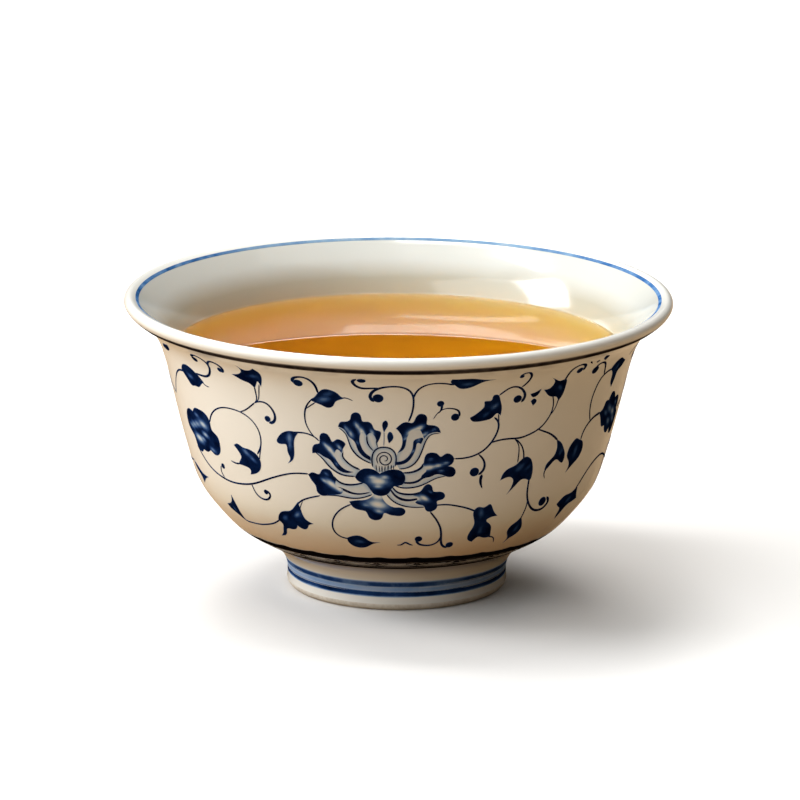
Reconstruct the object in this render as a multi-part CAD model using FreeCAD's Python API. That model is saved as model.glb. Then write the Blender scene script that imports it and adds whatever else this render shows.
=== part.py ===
"""Porcelain tea bowl with a flared rim, on a foot ring: glazed, banded in cobalt and filled with tea.

Millimetres, +Z up. The origin is the centre of the circle on which the foot ring stands.
Every piece is turned about Z from a section drawn in the XZ plane, as (radius, height).
"""
import FreeCAD, Part
import math
import os

# Outer form
RIM_RADIUS = 45.0
HEIGHT = 48.95
LIP_RADIUS = 1.0            # rounding of the lip's edge, to the glazed surface
LIP_OUTER_SLOPE = 41.0      # degrees above the horizontal, where the wall meets the lip
LIP_INNER_SLOPE = 35.0

# Foot ring
FOOT_RADIUS = 18.15
FOOT_BORE_RADIUS = 15.2
RECESS_HEIGHT = 4.4         # glazed underside of the bowl, inside the foot ring
RECESS_FILLET = 1.0
BARE_RIM_HEIGHT = 1.2       # the foot's unglazed rim
RIM_ROUND_OUT = 1.2
RIM_ROUND_IN = 0.9

# Coat and filling
GLAZE = 0.4
TEA_LEVEL = 40.15

# Wall between the bare rim of the foot and the lip, on the glazed surface
OUTER_WALL = [
    (18.05, 2.9), (18.7, 5.3), (20.4, 7.25), (22.8, 8.75), (26.9, 11.25), (29.8, 14.25),
    (32.6, 18.15), (34.4, 23.15), (36.0, 29.15), (37.4, 35.05), (38.7, 40.05), (40.5, 43.7),
    (42.6, 45.55),
]
# Inside of the bowl from the lip down to the middle of the floor, on the glazed surface
INNER_WALL = [
    (41.6, 47.35), (39.5, 45.3), (37.6, 42.6), (36.3, 39.6), (35.1, 35.0), (33.8, 29.5),
    (32.1, 23.8), (29.6, 18.6), (26.0, 14.3), (20.6, 10.9), (12.6, 8.4), (5.0, 7.45),
]
FLOOR_HEIGHT = 7.35

# Heights that part the coat outside the bowl into bands, from the foot up to the lip
OUTER_BANDS = [
    ("foot_glaze_lower", BARE_RIM_HEIGHT, 2.45),
    ("foot_line_lower", 2.45, 3.35),
    ("foot_wash_band", 3.35, 4.0),
    ("foot_line_upper", 4.0, 4.9),
    ("foot_glaze_upper", 4.9, 8.4),
    ("border_band", 8.4, 11.0),
    ("outer_glaze", 11.0, 46.2),
    ("outer_rim_line", 46.2, 46.7),
]
LIP_OUTER_END = 46.7
LIP_INNER_END = 48.55
INNER_LINE_END = 48.3

AXIS = FreeCAD.Vector(0, 0, 1)
ORIGIN = FreeCAD.Vector(0, 0, 0)


def at(radius, height):
    """A point of a section."""
    return FreeCAD.Vector(radius, 0, height)


def heading(degrees):
    """A unit direction in the section's plane, turned up from outwards."""
    angle = math.radians(degrees)
    return at(math.cos(angle), math.sin(angle))


def line(start, end):
    return Part.LineSegment(start, end).toShape()


def arc(centre, radius, start_degrees, end_degrees):
    """An arc of a section, from one heading to another about its centre."""
    middle_degrees = (start_degrees + end_degrees) / 2
    points = [centre + heading(turn) * radius for turn in (start_degrees, middle_degrees, end_degrees)]
    return Part.Arc(*points).toShape()


def smooth_curve(points, first_tangent, last_tangent):
    curve = Part.BSplineCurve()
    curve.interpolate(Points=points, InitialTangent=first_tangent,
                      FinalTangent=last_tangent, Scale=False)
    return curve


def set_back(curve, count, side):
    """The curve that lies one coat behind another: side is +1 for its left and -1 for its right."""
    points = []
    for step in range(count + 1):
        parameter = curve.FirstParameter + (curve.LastParameter - curve.FirstParameter) * step / count
        along = curve.tangent(parameter)[0]
        square = at(-along.z, along.x) * side
        points.append(curve.value(parameter) + square * GLAZE)
    return smooth_curve(points, curve.tangent(curve.FirstParameter)[0], curve.tangent(curve.LastParameter)[0])


def parameter_at(curve, height):
    """Where a curve that only rises, or only falls, passes a height."""
    low, high = curve.FirstParameter, curve.LastParameter
    rises = curve.value(high).z > curve.value(low).z
    for _ in range(60):
        middle = (low + high) / 2
        if (curve.value(middle).z < height) == rises:
            low = middle
        else:
            high = middle
    return (low + high) / 2


def turned(edges):
    """The solid turned about Z from a closed section."""
    face = Part.Face(Part.Wire(Part.__sortEdges__(edges)))
    solid = face.revolve(ORIGIN, AXIS, 360)
    return Part.Solid(solid.Shells[0]) if solid.ShapeType != "Solid" else solid


def coat_between(glazed, biscuit, start, end):
    """One band of the coat between two parameters of its glazed curve."""
    biscuit_start = biscuit.parameter(glazed.value(start))
    biscuit_end = biscuit.parameter(glazed.value(end))
    return turned([
        glazed.toShape(start, end),
        line(glazed.value(end), biscuit.value(biscuit_end)),
        biscuit.toShape(biscuit_start, biscuit_end),
        line(biscuit.value(biscuit_start), glazed.value(start)),
    ])


# Curves of the section: the glazed surface, and the biscuit one coat behind it
lip_centre = at(RIM_RADIUS - LIP_RADIUS, HEIGHT - LIP_RADIUS)
lip_start = LIP_OUTER_SLOPE - 90
lip_end = LIP_INNER_SLOPE + 90
outer_end = lip_centre + heading(lip_start) * LIP_RADIUS
inner_start = lip_centre + heading(lip_end) * LIP_RADIUS

outer_points = [at(FOOT_RADIUS, BARE_RIM_HEIGHT)] + [at(*point) for point in OUTER_WALL] + [outer_end]
outer = smooth_curve(outer_points, AXIS, heading(LIP_OUTER_SLOPE))
outer_biscuit = set_back(outer, 40, 1)

inner_points = [inner_start] + [at(*point) for point in INNER_WALL] + [at(0, FLOOR_HEIGHT)]
inner = smooth_curve(inner_points, heading(LIP_INNER_SLOPE + 180), heading(180))
inner_biscuit = set_back(inner, 40, 1)

biscuit_lip = arc(lip_centre, LIP_RADIUS - GLAZE, lip_start, lip_end)
glazed_lip = arc(lip_centre, LIP_RADIUS, lip_start, lip_end)

# The bowl stands on the foot ring in the plane of the biscuit's underside
seat_height = RECESS_HEIGHT + GLAZE
seat_parameter = parameter_at(outer_biscuit, seat_height)
seat_edge = outer_biscuit.value(seat_parameter)


def bowl_body():
    """The thrown bowl without its coat, down to its seat on the foot ring."""
    return turned([
        outer_biscuit.toShape(seat_parameter, outer_biscuit.LastParameter),
        biscuit_lip,
        inner_biscuit.toShape(),
        line(inner_biscuit.value(inner_biscuit.LastParameter), at(0, seat_height)),
        line(at(0, seat_height), seat_edge),
    ])


def foot_ring():
    """The ring under the bowl, whose bare rounded rim comes out flush with the coat."""
    bore = FOOT_BORE_RADIUS + GLAZE
    biscuit_start = outer_biscuit.value(outer_biscuit.FirstParameter)
    round_in = at(FOOT_BORE_RADIUS + RIM_ROUND_IN, RIM_ROUND_IN)
    round_out = at(FOOT_RADIUS - RIM_ROUND_OUT, RIM_ROUND_OUT)
    return turned([
        line(seat_edge, at(bore, seat_height)),
        line(at(bore, seat_height), at(bore, BARE_RIM_HEIGHT)),
        line(at(bore, BARE_RIM_HEIGHT), at(FOOT_BORE_RADIUS, BARE_RIM_HEIGHT)),
        line(at(FOOT_BORE_RADIUS, BARE_RIM_HEIGHT), at(FOOT_BORE_RADIUS, RIM_ROUND_IN)),
        arc(round_in, RIM_ROUND_IN, 180, 270),
        line(at(round_in.x, 0), at(round_out.x, 0)),
        arc(round_out, RIM_ROUND_OUT, 270, 360),
        line(at(FOOT_RADIUS, BARE_RIM_HEIGHT), biscuit_start),
        outer_biscuit.toShape(outer_biscuit.FirstParameter, seat_parameter),
    ])


def base_glaze():
    """The coat of the recess inside the foot ring, which fills its corner to a fillet."""
    bore = FOOT_BORE_RADIUS + GLAZE
    fillet = at(FOOT_BORE_RADIUS - RECESS_FILLET, RECESS_HEIGHT - RECESS_FILLET)
    return turned([
        line(at(0, seat_height), at(0, RECESS_HEIGHT)),
        line(at(0, RECESS_HEIGHT), at(fillet.x, RECESS_HEIGHT)),
        arc(fillet, RECESS_FILLET, 90, 0),
        line(at(FOOT_BORE_RADIUS, fillet.z), at(FOOT_BORE_RADIUS, BARE_RIM_HEIGHT)),
        line(at(FOOT_BORE_RADIUS, BARE_RIM_HEIGHT), at(bore, BARE_RIM_HEIGHT)),
        line(at(bore, BARE_RIM_HEIGHT), at(bore, seat_height)),
        line(at(bore, seat_height), at(0, seat_height)),
    ])


def lip_glaze():
    """The coat over the lip, from the dark line under it to the blue line inside it."""
    outer_cut = parameter_at(outer, LIP_OUTER_END)
    inner_cut = parameter_at(inner, LIP_INNER_END)
    outer_biscuit_cut = outer_biscuit.parameter(outer.value(outer_cut))
    inner_biscuit_cut = inner_biscuit.parameter(inner.value(inner_cut))
    return turned([
        outer.toShape(outer_cut, outer.LastParameter),
        glazed_lip,
        inner.toShape(inner.FirstParameter, inner_cut),
        line(inner.value(inner_cut), inner_biscuit.value(inner_biscuit_cut)),
        inner_biscuit.toShape(inner_biscuit.FirstParameter, inner_biscuit_cut),
        biscuit_lip,
        outer_biscuit.toShape(outer_biscuit_cut, outer_biscuit.LastParameter),
        line(outer_biscuit.value(outer_biscuit_cut), outer.value(outer_cut)),
    ])


def inner_glaze():
    """The coat of the bowl's inside below the blue line, floor and all."""
    start = parameter_at(inner, INNER_LINE_END)
    biscuit_start = inner_biscuit.parameter(inner.value(start))
    floor = inner.value(inner.LastParameter)
    biscuit_floor = inner_biscuit.value(inner_biscuit.LastParameter)
    return turned([
        inner.toShape(start, inner.LastParameter),
        line(floor, biscuit_floor),
        inner_biscuit.toShape(biscuit_start, inner_biscuit.LastParameter),
        line(inner_biscuit.value(biscuit_start), inner.value(start)),
    ])


def tea():
    """The tea, which fills the glazed inside up to its level."""
    edge = parameter_at(inner, TEA_LEVEL)
    return turned([
        inner.toShape(edge, inner.LastParameter),
        line(at(0, FLOOR_HEIGHT), at(0, TEA_LEVEL)),
        line(at(0, TEA_LEVEL), inner.value(edge)),
    ])


def all_pieces():
    pieces = {
        "bowl_body": bowl_body(),
        "foot_ring": foot_ring(),
        "base_glaze": base_glaze(),
        "lip_glaze": lip_glaze(),
        "inner_glaze": inner_glaze(),
        "tea": tea(),
    }
    line_start = parameter_at(inner, LIP_INNER_END)
    line_end = parameter_at(inner, INNER_LINE_END)
    pieces["inner_rim_line"] = coat_between(inner, inner_biscuit, line_start, line_end)
    for name, low, high in OUTER_BANDS:
        start, end = parameter_at(outer, low), parameter_at(outer, high)
        pieces[name] = coat_between(outer, outer_biscuit, start, end)
    return pieces


os.makedirs("parts", exist_ok=True)
for name, shape in all_pieces().items():
    shape.exportStep("parts/" + name + ".step")
    print(f"{name}: {shape.ShapeType} valid {shape.isValid()} volume {shape.Volume:.1f} mm3")
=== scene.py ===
"""A handleless porcelain teacup with a flared rim, painted in cobalt blue scrollwork and filled with tea.

The turned pieces follow one meridian, and the painting is laid out on the unrolled wall: degrees round the
bowl from the middle of its front, and millimetres up the wall from the foot of the border.
"""
import math
import bpy
import numpy as np
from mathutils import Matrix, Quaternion, Vector, geometry


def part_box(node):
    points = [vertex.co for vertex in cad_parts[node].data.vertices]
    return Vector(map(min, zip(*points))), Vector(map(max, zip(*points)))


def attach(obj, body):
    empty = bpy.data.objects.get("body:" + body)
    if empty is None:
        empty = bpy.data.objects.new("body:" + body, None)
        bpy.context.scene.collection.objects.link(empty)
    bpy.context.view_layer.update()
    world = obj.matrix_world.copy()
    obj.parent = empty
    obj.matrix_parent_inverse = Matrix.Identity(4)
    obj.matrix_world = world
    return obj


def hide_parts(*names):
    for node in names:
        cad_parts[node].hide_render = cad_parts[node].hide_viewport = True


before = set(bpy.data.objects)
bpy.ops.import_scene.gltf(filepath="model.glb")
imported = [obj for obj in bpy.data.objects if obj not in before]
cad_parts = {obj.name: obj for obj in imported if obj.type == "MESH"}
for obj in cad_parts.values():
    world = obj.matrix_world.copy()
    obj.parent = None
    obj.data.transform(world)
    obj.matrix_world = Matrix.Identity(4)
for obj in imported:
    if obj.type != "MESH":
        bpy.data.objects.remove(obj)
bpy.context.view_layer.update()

MM = 0.001

# Turned pieces, in millimetres
SEGMENTS = 384              # round a turned piece
COAT = 0.35                 # thickness of the glaze as it is drawn
WALL_SPACING = 0.5          # between rings along a turned surface
LIP_RADIUS = 1.0
FLOOR_HEIGHT = 7.35         # of the glazed inside, at its middle
RIM_ROUND_OUT = 1.2         # rounding of the bare rim of the foot
RIM_ROUND_IN = 0.9
FOOT_BORE_RADIUS = 15.2
BARE_RIM_TOP = 4.2          # how far the foot's clay goes up inside the coat
RECESS_FILLET = 1.0
UNDERSIDE_COAT = 0.4        # thickness of the glaze under the bowl
CLAY_TOP = 48.2             # where the clay ends inside the glaze of the lip
CURVE_SPACING = 0.05        # of the points on the meridian
CLAY_SPACING = 1.5          # between rings on the hidden clay
LIP_SPACING = 0.12          # between rings round the lip
BACK_STEP = 4               # the hidden back of a band of glaze has every fourth ring of its front
SHORT_BAND = 12             # a band with no more rings than this keeps them all
CLAY_NEAR = 0.01            # how close the clay's inside comes to the axis before its last ring
CEILING_RINGS = 12          # of the recess in the foot
BORE_RINGS = 5
AXIS_REACH = 0.01           # a ring smaller than this is one point on the axis
SHARP_ANGLE = 40            # degrees between faces at which an edge is sharp
NEAR = 0.001                # how close a cut comes to the crest of the lip or to the axis

# Tea, in millimetres
TEA_SPACING = 0.8
TEA_LET_IN = 0.03           # how far it goes into the glaze, so that no gap shows
TEA_EDGE = 0.45             # how far its thin edge climbs the wall
MENISCUS = [(0.2, 0.3), (0.12, 0.9)]    # rises at the wall, and how far from it each one fades

# Painting, in millimetres
DEGREE = 0.62               # width of one degree of the wall where it is painted
PAINT_DEPTH = 0.05          # how far the painting is let into the glaze
WASH_LEVEL = 0.008          # how far a pale wash stands out of the glaze
PAINT_HEIGHT = 0.024        # how far the rest of the painting stands out
SCRATCH_HEIGHT = 0.04       # how far the pale lines in the dark border stand out
LINE_RELIEF = 0.02          # how far the line inside the lip stands out
LAYER_STEP = 0.002          # each shape stands out this much further than the last, in turns of seven
LAYERS = 7
STROKE_SPACING = 0.35       # along a brush stroke
OUTLINE_SPACING = 0.22      # round an outline
FILL_SPACING = 0.28         # of the points inside an outline
FILL_CLEARANCE = 0.16       # between them and the outline
INSET_CLEARANCE = 0.1       # at least, between the outline and the row of points along it
EDGE_WIDTH = 0.13           # over which pigment thins at an outline
EDGE_TONE = 0.6             # strength of the pigment on the outline itself
MIDDLE_REACH = 0.6          # from the outline to where a shape has its middle's strength
STROKE_TAPER = 0.3          # over which the end of a stroke narrows
STROKE_END = 0.34           # width of the very end of a stroke, as a part of its width
STROKE_BODY = 0.76          # what the rest of the stroke adds to that
STROKE_COLUMNS = np.array([-1, -0.62, 0, 0.62, 1])      # points across a stroke, in half widths
STROKE_TONES = np.array([0.62, 1, 1, 1, 0.62])          # pigment at them
RING_STEPS = 720            # points round a ring
RING_COLUMNS = np.array([-1.25, -0.9, -0.5, 0, 0.5, 0.9, 1.25])
RING_TONES = np.array([0.1, 0.7, 1, 1, 1, 0.7, 0.1])
RING_PEAKS = 30             # round the bowl, where a ring has them
RING_DRIFT = (2, 3, 5, 8)   # waves round the bowl in a ring's level
RING_SWELL = (3, 7, 13)     # and in its width
SWELL = 0.12                # how much they change its width
RING_SHADE = 0.1            # how much its pigment varies
LIGHT_STRETCH = 2.1         # how much longer a light in a painted shape is than it is wide
LIGHT_FALL = 2.4            # how sharply such a light ends
LINE_WOBBLE = 0.02          # of the lines round the foot and the rim
LINE_SPREAD = 1.02          # width of a painted line against the width of its band
WASH_OVERLAP = 0.1          # how far the wash on the foot runs under the lines beside it
LEFT_END = -22              # degrees, where the pieces of the painting on the left end
RIGHT_START = 20            # degrees, where those on the right start
REPEATS = {"front": 0, "back": 180}     # the halves of the pattern and how far each is turned, degrees
TIP = True                  # marks the sharp points of an outline

# Surroundings and camera
ROOM = 0.035                # strength of the light from the horizon
OVERHEAD = 0.37             # strength of the light from straight above
NOISE_RANGE = (0.3, 0.7)    # where nearly all the values of a noise lie
FLOOR_REACH = 8.0           # metres
LAMP_AIM = 0.03             # height that the lamps face, metres
CAMERA_AIM = (0.35, 0, 31)  # millimetres
CAMERA_DISTANCE = 1.073     # metres
CAMERA_ELEVATION = 14.285   # degrees
CAMERA_ROLL = 0.405         # degrees
LENS = 293.3                # millimetres
SENSOR_WIDTH = 36           # millimetres


# ---------------------------------------------------------------- sizes from the frame

def node_heights(node):
    """The lowest and highest level of a CAD node, in millimetres."""
    low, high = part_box(node)
    return low.z / MM, high.z / MM


RIM_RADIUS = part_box("lip_glaze")[1].x / MM
HEIGHT = node_heights("lip_glaze")[1]
FOOT_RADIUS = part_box("foot_glaze_lower")[1].x / MM
BARE_RIM_HEIGHT, LINE_LOWER_START = node_heights("foot_glaze_lower")
WASH_START, WASH_END = node_heights("foot_wash_band")
LINE_UPPER_END = node_heights("foot_line_upper")[1]
BORDER_START, BORDER_END = node_heights("border_band")
RIM_LINE_START, RIM_LINE_END = node_heights("outer_rim_line")
INNER_LINE_END = node_heights("inner_glaze")[1]     # the lower edge of the line inside the lip
TEA_LEVEL = node_heights("tea")[1]
RECESS_HEIGHT = node_heights("base_glaze")[1] - UNDERSIDE_COAT
GLAZE_SEAM = BORDER_END - 0.15                      # where two glazes meet, under the border
LIP_SEAM = (RIM_LINE_START + RIM_LINE_END) / 2      # under the dark line
INNER_SEAM = INNER_LINE_END + 0.1                   # under the line inside the lip

# Wall between the bare rim of the foot and the lip, as (radius, height) on the glazed surface
OUTER_WALL = [
    (18.05, 2.9), (18.7, 5.3), (20.4, 7.25), (22.8, 8.75), (26.9, 11.25), (29.8, 14.25),
    (32.6, 18.15), (34.4, 23.15), (36.0, 29.15), (37.4, 35.05), (38.7, 40.05), (40.5, 43.7),
    (42.6, 45.55),
]
# Inside of the bowl from the lip down
INNER_WALL = [
    (41.6, 47.35), (39.5, 45.3), (37.6, 42.6), (36.3, 39.6), (35.1, 35.0), (33.8, 29.5),
    (32.1, 23.8), (29.6, 18.6), (26.0, 14.3), (20.6, 10.9), (12.6, 8.4), (5.0, 7.45),
]


# ---------------------------------------------------------------- curves

def smooth(points, spacing):
    """Points about spacing apart on the natural cubic spline through some points."""
    points = np.array(points, float)
    steps = np.linalg.norm(np.diff(points, axis=0), axis=1)
    knots = np.concatenate([[0.0], np.cumsum(steps)])
    last = len(points) - 1
    matrix = np.eye(last + 1)
    right = np.zeros_like(points)
    for i in range(1, last):
        matrix[i, i - 1:i + 2] = steps[i - 1], 2 * (steps[i - 1] + steps[i]), steps[i]
        after = (points[i + 1] - points[i]) / steps[i]
        before = (points[i] - points[i - 1]) / steps[i - 1]
        right[i] = 6 * (after - before)
    bend = np.linalg.solve(matrix, right)
    samples = np.linspace(0, knots[-1], max(1, round(knots[-1] / spacing)) + 1)
    span = np.clip(np.searchsorted(knots, samples, side="right") - 1, 0, last - 1)
    size = steps[span][:, None]
    b = ((samples - knots[span]) / steps[span])[:, None]
    a = 1 - b
    curve = a * points[span] + b * points[span + 1]
    return curve + ((a ** 3 - a) * bend[span] + (b ** 3 - b) * bend[span + 1]) * size ** 2 / 6


def lengths_along(line):
    """The length of a line up to each of its points."""
    return np.concatenate([[0.0], np.cumsum(np.linalg.norm(np.diff(line, axis=0), axis=1))])


def meridian():
    """The glazed surface from the foot's bare rim up the wall, over the lip and down to the floor."""
    centre = np.array([RIM_RADIUS - LIP_RADIUS, HEIGHT - LIP_RADIUS])
    lip = []
    for turn in np.radians([-49, -10, 38, 85, 125]):
        lip.append(centre + LIP_RADIUS * np.array([math.cos(turn), math.sin(turn)]))
    points = [(FOOT_RADIUS, BARE_RIM_HEIGHT), *OUTER_WALL, *lip, *INNER_WALL, (0.0, FLOOR_HEIGHT)]
    return smooth(points, CURVE_SPACING)


MERIDIAN = meridian()
CREST = int(np.argmax(MERIDIAN[:, 1]))
OUTSIDE = MERIDIAN[:CREST + 1]
INSIDE = MERIDIAN[CREST:]
OUTSIDE_LENGTHS = lengths_along(OUTSIDE)
WALL_ORIGIN = float(np.interp(BORDER_START, OUTSIDE[:, 1], OUTSIDE_LENGTHS))


def wall_length(height):
    """How far up the wall a height is, from the foot of the border."""
    return float(np.interp(height, OUTSIDE[:, 1], OUTSIDE_LENGTHS)) - WALL_ORIGIN


def stretch(line, start, end, spacing=WALL_SPACING):
    """The part of the outside or inside between two heights, as evenly spaced points."""
    lengths = lengths_along(line)
    order = np.argsort(line[:, 1])
    first, final = np.interp([start, end], line[order, 1], lengths[order])
    count = max(2, round(abs(final - first) / spacing) + 1)
    at = np.linspace(first, final, count)
    return np.stack([np.interp(at, lengths, line[:, 0]), np.interp(at, lengths, line[:, 1])], axis=1)


def set_back(line, depth):
    """A line moved to its left by depth."""
    along = np.gradient(line, axis=0)
    along /= np.linalg.norm(along, axis=1)[:, None]
    return line + depth * np.stack([-along[:, 1], along[:, 0]], axis=1)


# ---------------------------------------------------------------- turned pieces

def link(name, mesh, material):
    """A piece made of a mesh and a material."""
    mesh.materials.append(material)
    piece = bpy.data.objects.new(name, mesh)
    bpy.context.scene.collection.objects.link(piece)
    return piece


def turned(name, section, material):
    """A closed solid turned about Z from a closed section, given with the solid on its left."""
    vertices, rings, faces = [], [], []
    turns = np.arange(SEGMENTS) * 2 * math.pi / SEGMENTS
    for radius, height in section:
        first = len(vertices)
        if radius < AXIS_REACH:
            vertices.append((0.0, 0.0, height * MM))
            rings.append([first] * SEGMENTS)
            continue
        for turn in turns:
            vertices.append((radius * math.sin(turn) * MM, -radius * math.cos(turn) * MM, height * MM))
        rings.append(list(range(first, first + SEGMENTS)))
    for low, high in zip(rings, rings[1:] + rings[:1]):
        for i in range(SEGMENTS):
            j = (i + 1) % SEGMENTS
            corners = []
            for corner in (low[i], low[j], high[j], high[i]):
                if corner not in corners:
                    corners.append(corner)
            if len(corners) > 2:
                faces.append(corners)
    mesh = bpy.data.meshes.new(name)
    mesh.from_pydata(vertices, [], faces)
    mesh.polygons.foreach_set("use_smooth", [True] * len(mesh.polygons))
    mesh.set_sharp_from_angle(angle=math.radians(SHARP_ANGLE))
    return link(name, mesh, material)


def coat(name, line, material):
    """A band of glaze with its surface on a line and its back one coat behind it."""
    back = set_back(line, COAT)
    if len(line) > SHORT_BAND:
        back = np.concatenate([set_back(line[::BACK_STEP], COAT), back[-1:]])
    return turned(name, np.concatenate([line, back[::-1]]), material)


# ---------------------------------------------------------------- the painting

class Painting:
    """Thin shapes of pigment laid on the wall, gathered into one mesh."""

    def __init__(self):
        self.points = []
        self.faces = []
        self.pigment = []
        self.tops = []
        self.layers = 0

    def patch(self, plane, pigment, faces, height):
        """A flat shape in wall millimetres becomes a thin closed solid that follows the wall."""
        height = height + LAYER_STEP * (self.layers % LAYERS)
        self.layers += 1
        first, count = len(self.points), len(plane)
        for level in (height, -PAINT_DEPTH):
            self.points.extend(on_wall(plane, level))
            self.pigment.extend(pigment)
        edges = set()
        for face in faces:
            self.faces.append([first + corner for corner in face])
            self.tops.append(True)
            edges.update(zip(face, face[1:] + face[:1]))
        for face in faces:
            self.faces.append([first + count + corner for corner in reversed(face)])
            self.tops.append(False)
        for a, b in sorted(edges):
            if (b, a) not in edges:
                self.faces.append([first + a, first + count + a, first + count + b, first + b])
                self.tops.append(False)

    def stroke(self, route, widths, tone=1.0, height=PAINT_HEIGHT):
        """A brush stroke along a route, with its width in millimetres given evenly along it."""
        line = smooth([(azimuth * DEGREE, up) for azimuth, up in route], STROKE_SPACING)
        lengths = lengths_along(line)
        part = lengths / lengths[-1]
        half = np.interp(part, np.linspace(0, 1, len(widths)), widths) / 2
        ends = np.clip(np.minimum(lengths, lengths[-1] - lengths) / STROKE_TAPER, 0, 1)
        half = half * (STROKE_END + STROKE_BODY * np.sqrt(ends))
        along = np.gradient(line, axis=0)
        along /= np.linalg.norm(along, axis=1)[:, None]
        across = np.stack([along[:, 1], -along[:, 0]], axis=1)
        plane = line[:, None, :] + across[:, None, :] * (half[:, None] * STROKE_COLUMNS)[:, :, None]
        plane = plane.reshape(-1, 2)
        pigment = np.tile(tone * STROKE_TONES, len(line))
        faces = []
        wide = len(STROKE_COLUMNS)
        for i in range(len(line) - 1):
            for k in range(wide - 1):
                a = i * wide + k
                faces.append([a, a + 1, a + wide + 1, a + wide])
        self.patch(plane, pigment, faces, height)

    def ring(self, up, wobble, width, tone, seed, height=PAINT_HEIGHT, peaks=0.0):
        """A brushed line all round the bowl, whose level and width wander a little."""
        turns = np.linspace(0, 2 * math.pi, RING_STEPS + 1)[:-1]
        drift = sum(np.sin(turns * k + seed * k * 1.7) / k for k in RING_DRIFT)
        swell = 1 + SWELL * sum(np.sin(turns * k + seed + k) / k for k in RING_SWELL)
        centre = up + wobble * drift + peaks * np.abs(np.sin(turns * RING_PEAKS / 2)) ** 6
        half = width / 2 * swell
        wide = len(RING_COLUMNS)
        across = np.repeat(np.degrees(turns) * DEGREE, wide)
        levels = (centre[:, None] + half[:, None] * RING_COLUMNS).ravel()
        shade = 1 - RING_SHADE * (1 + np.sin(turns * 4 + seed) * np.sin(turns * 11 + seed * 2))
        pigment = (shade[:, None] * (tone * RING_TONES)).ravel()
        faces = []
        for i in range(len(turns)):
            j = (i + 1) % len(turns)
            for k in range(wide - 1):
                faces.append([i * wide + k, j * wide + k, j * wide + k + 1, i * wide + k + 1])
        self.patch(np.stack([across, levels], axis=1), pigment, faces, height)

    def fill(self, outline, lights=(), tone=1.0, height=PAINT_HEIGHT, middle=1.0):
        """A filled shape, whose pigment thins towards its edge and its middle, and in lights along it."""
        edge = closed_outline(outline)
        low, high = edge.min(axis=0), edge.max(axis=0)
        steps = [np.arange(low[axis], high[axis], FILL_SPACING) for axis in (0, 1)]
        grid = np.stack(np.meshgrid(*steps), axis=-1).reshape(-1, 2)
        grid = grid[distance_to(grid, edge) > FILL_CLEARANCE]
        inset = edge + inward(edge) * EDGE_WIDTH
        inset = inset[distance_to(inset, edge) > INSET_CLEARANCE]
        loose = np.concatenate([inset, grid])
        vertices = [Vector(point) for point in np.concatenate([edge, loose])]
        result = geometry.delaunay_2d_cdt(vertices, [], [list(range(len(edge)))], 1, 1e-4)
        plane = np.array([tuple(point) for point in result[0]])
        faces = [list(face) for face in result[2]]
        depth = distance_to(plane, edge)
        pigment = tone * (EDGE_TONE + (1 - EDGE_TONE) * np.clip(depth / EDGE_WIDTH, 0, 1))
        pigment = pigment * (1 + (middle - 1) * np.clip(depth / MIDDLE_REACH, 0, 1))
        longest = np.linalg.svd(edge - edge.mean(axis=0), full_matrices=False)[2][0]
        for azimuth, up, radius, strength in lights:
            offset = plane - (azimuth * DEGREE, up)
            lengthwise = offset @ longest
            crosswise = offset @ (-longest[1], longest[0])
            gap = np.hypot(lengthwise / LIGHT_STRETCH, crosswise)
            pigment = pigment * (1 - strength * np.exp(-(gap / radius) ** LIGHT_FALL))
        self.patch(plane, pigment, faces, height)

    def dot(self, azimuth, up, radius):
        """A round spot."""
        rounds = [(azimuth + radius * math.cos(turn) / DEGREE, up + radius * math.sin(turn))
                  for turn in np.arange(0, 2 * math.pi, math.pi / 4)]
        self.fill(rounds)

    def piece(self, name, material):
        """The gathered shapes as one piece, which carries its pigment and has the wall's normals on top."""
        mesh = bpy.data.meshes.new(name)
        mesh.from_pydata([tuple(point) for point in self.points], [], self.faces)
        attribute = mesh.attributes.new("pigment", "FLOAT", "POINT")
        attribute.data.foreach_set("value", np.array(self.pigment, dtype=np.float32))
        mesh.polygons.foreach_set("use_smooth", [True] * len(mesh.polygons))
        normals = []
        places = np.array(self.points)
        smooth_normals = wall_normals(places)
        for polygon, top in zip(mesh.polygons, self.tops):
            for corner in polygon.vertices:
                normals.append(tuple(smooth_normals[corner]) if top else tuple(polygon.normal))
        mesh.normals_split_custom_set(normals)
        return link(name, mesh, material)


def on_wall(plane, level):
    """Places in metres for points in wall millimetres, at a level above the glaze."""
    plane = np.asarray(plane)
    turn = np.radians(plane[:, 0] / DEGREE)
    length = plane[:, 1] + WALL_ORIGIN
    radius = np.interp(length, OUTSIDE_LENGTHS, OUTSIDE[:, 0])
    height = np.interp(length, OUTSIDE_LENGTHS, OUTSIDE[:, 1])
    out, up = slope_at(length)
    radius = radius + level * out
    height = height + level * up
    return np.stack([radius * np.sin(turn), -radius * np.cos(turn), height], axis=1) * MM


def slope_at(length):
    """The outward and upward parts of the wall's normal at lengths along the outside."""
    along = np.gradient(OUTSIDE, axis=0)
    along /= np.linalg.norm(along, axis=1)[:, None]
    outward = np.interp(length, OUTSIDE_LENGTHS, along[:, 1])
    upward = np.interp(length, OUTSIDE_LENGTHS, -along[:, 0])
    return outward, upward


def wall_normals(places):
    """The wall's normals at places on it, in metres."""
    heights = np.clip(places[:, 2] / MM, OUTSIDE[0, 1], OUTSIDE[-1, 1])
    out, up = slope_at(np.interp(heights, OUTSIDE[:, 1], OUTSIDE_LENGTHS))
    flat = np.hypot(places[:, 0], places[:, 1])
    normals = np.stack([out * places[:, 0] / flat, out * places[:, 1] / flat, up], axis=1)
    return normals / np.linalg.norm(normals, axis=1)[:, None]


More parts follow.
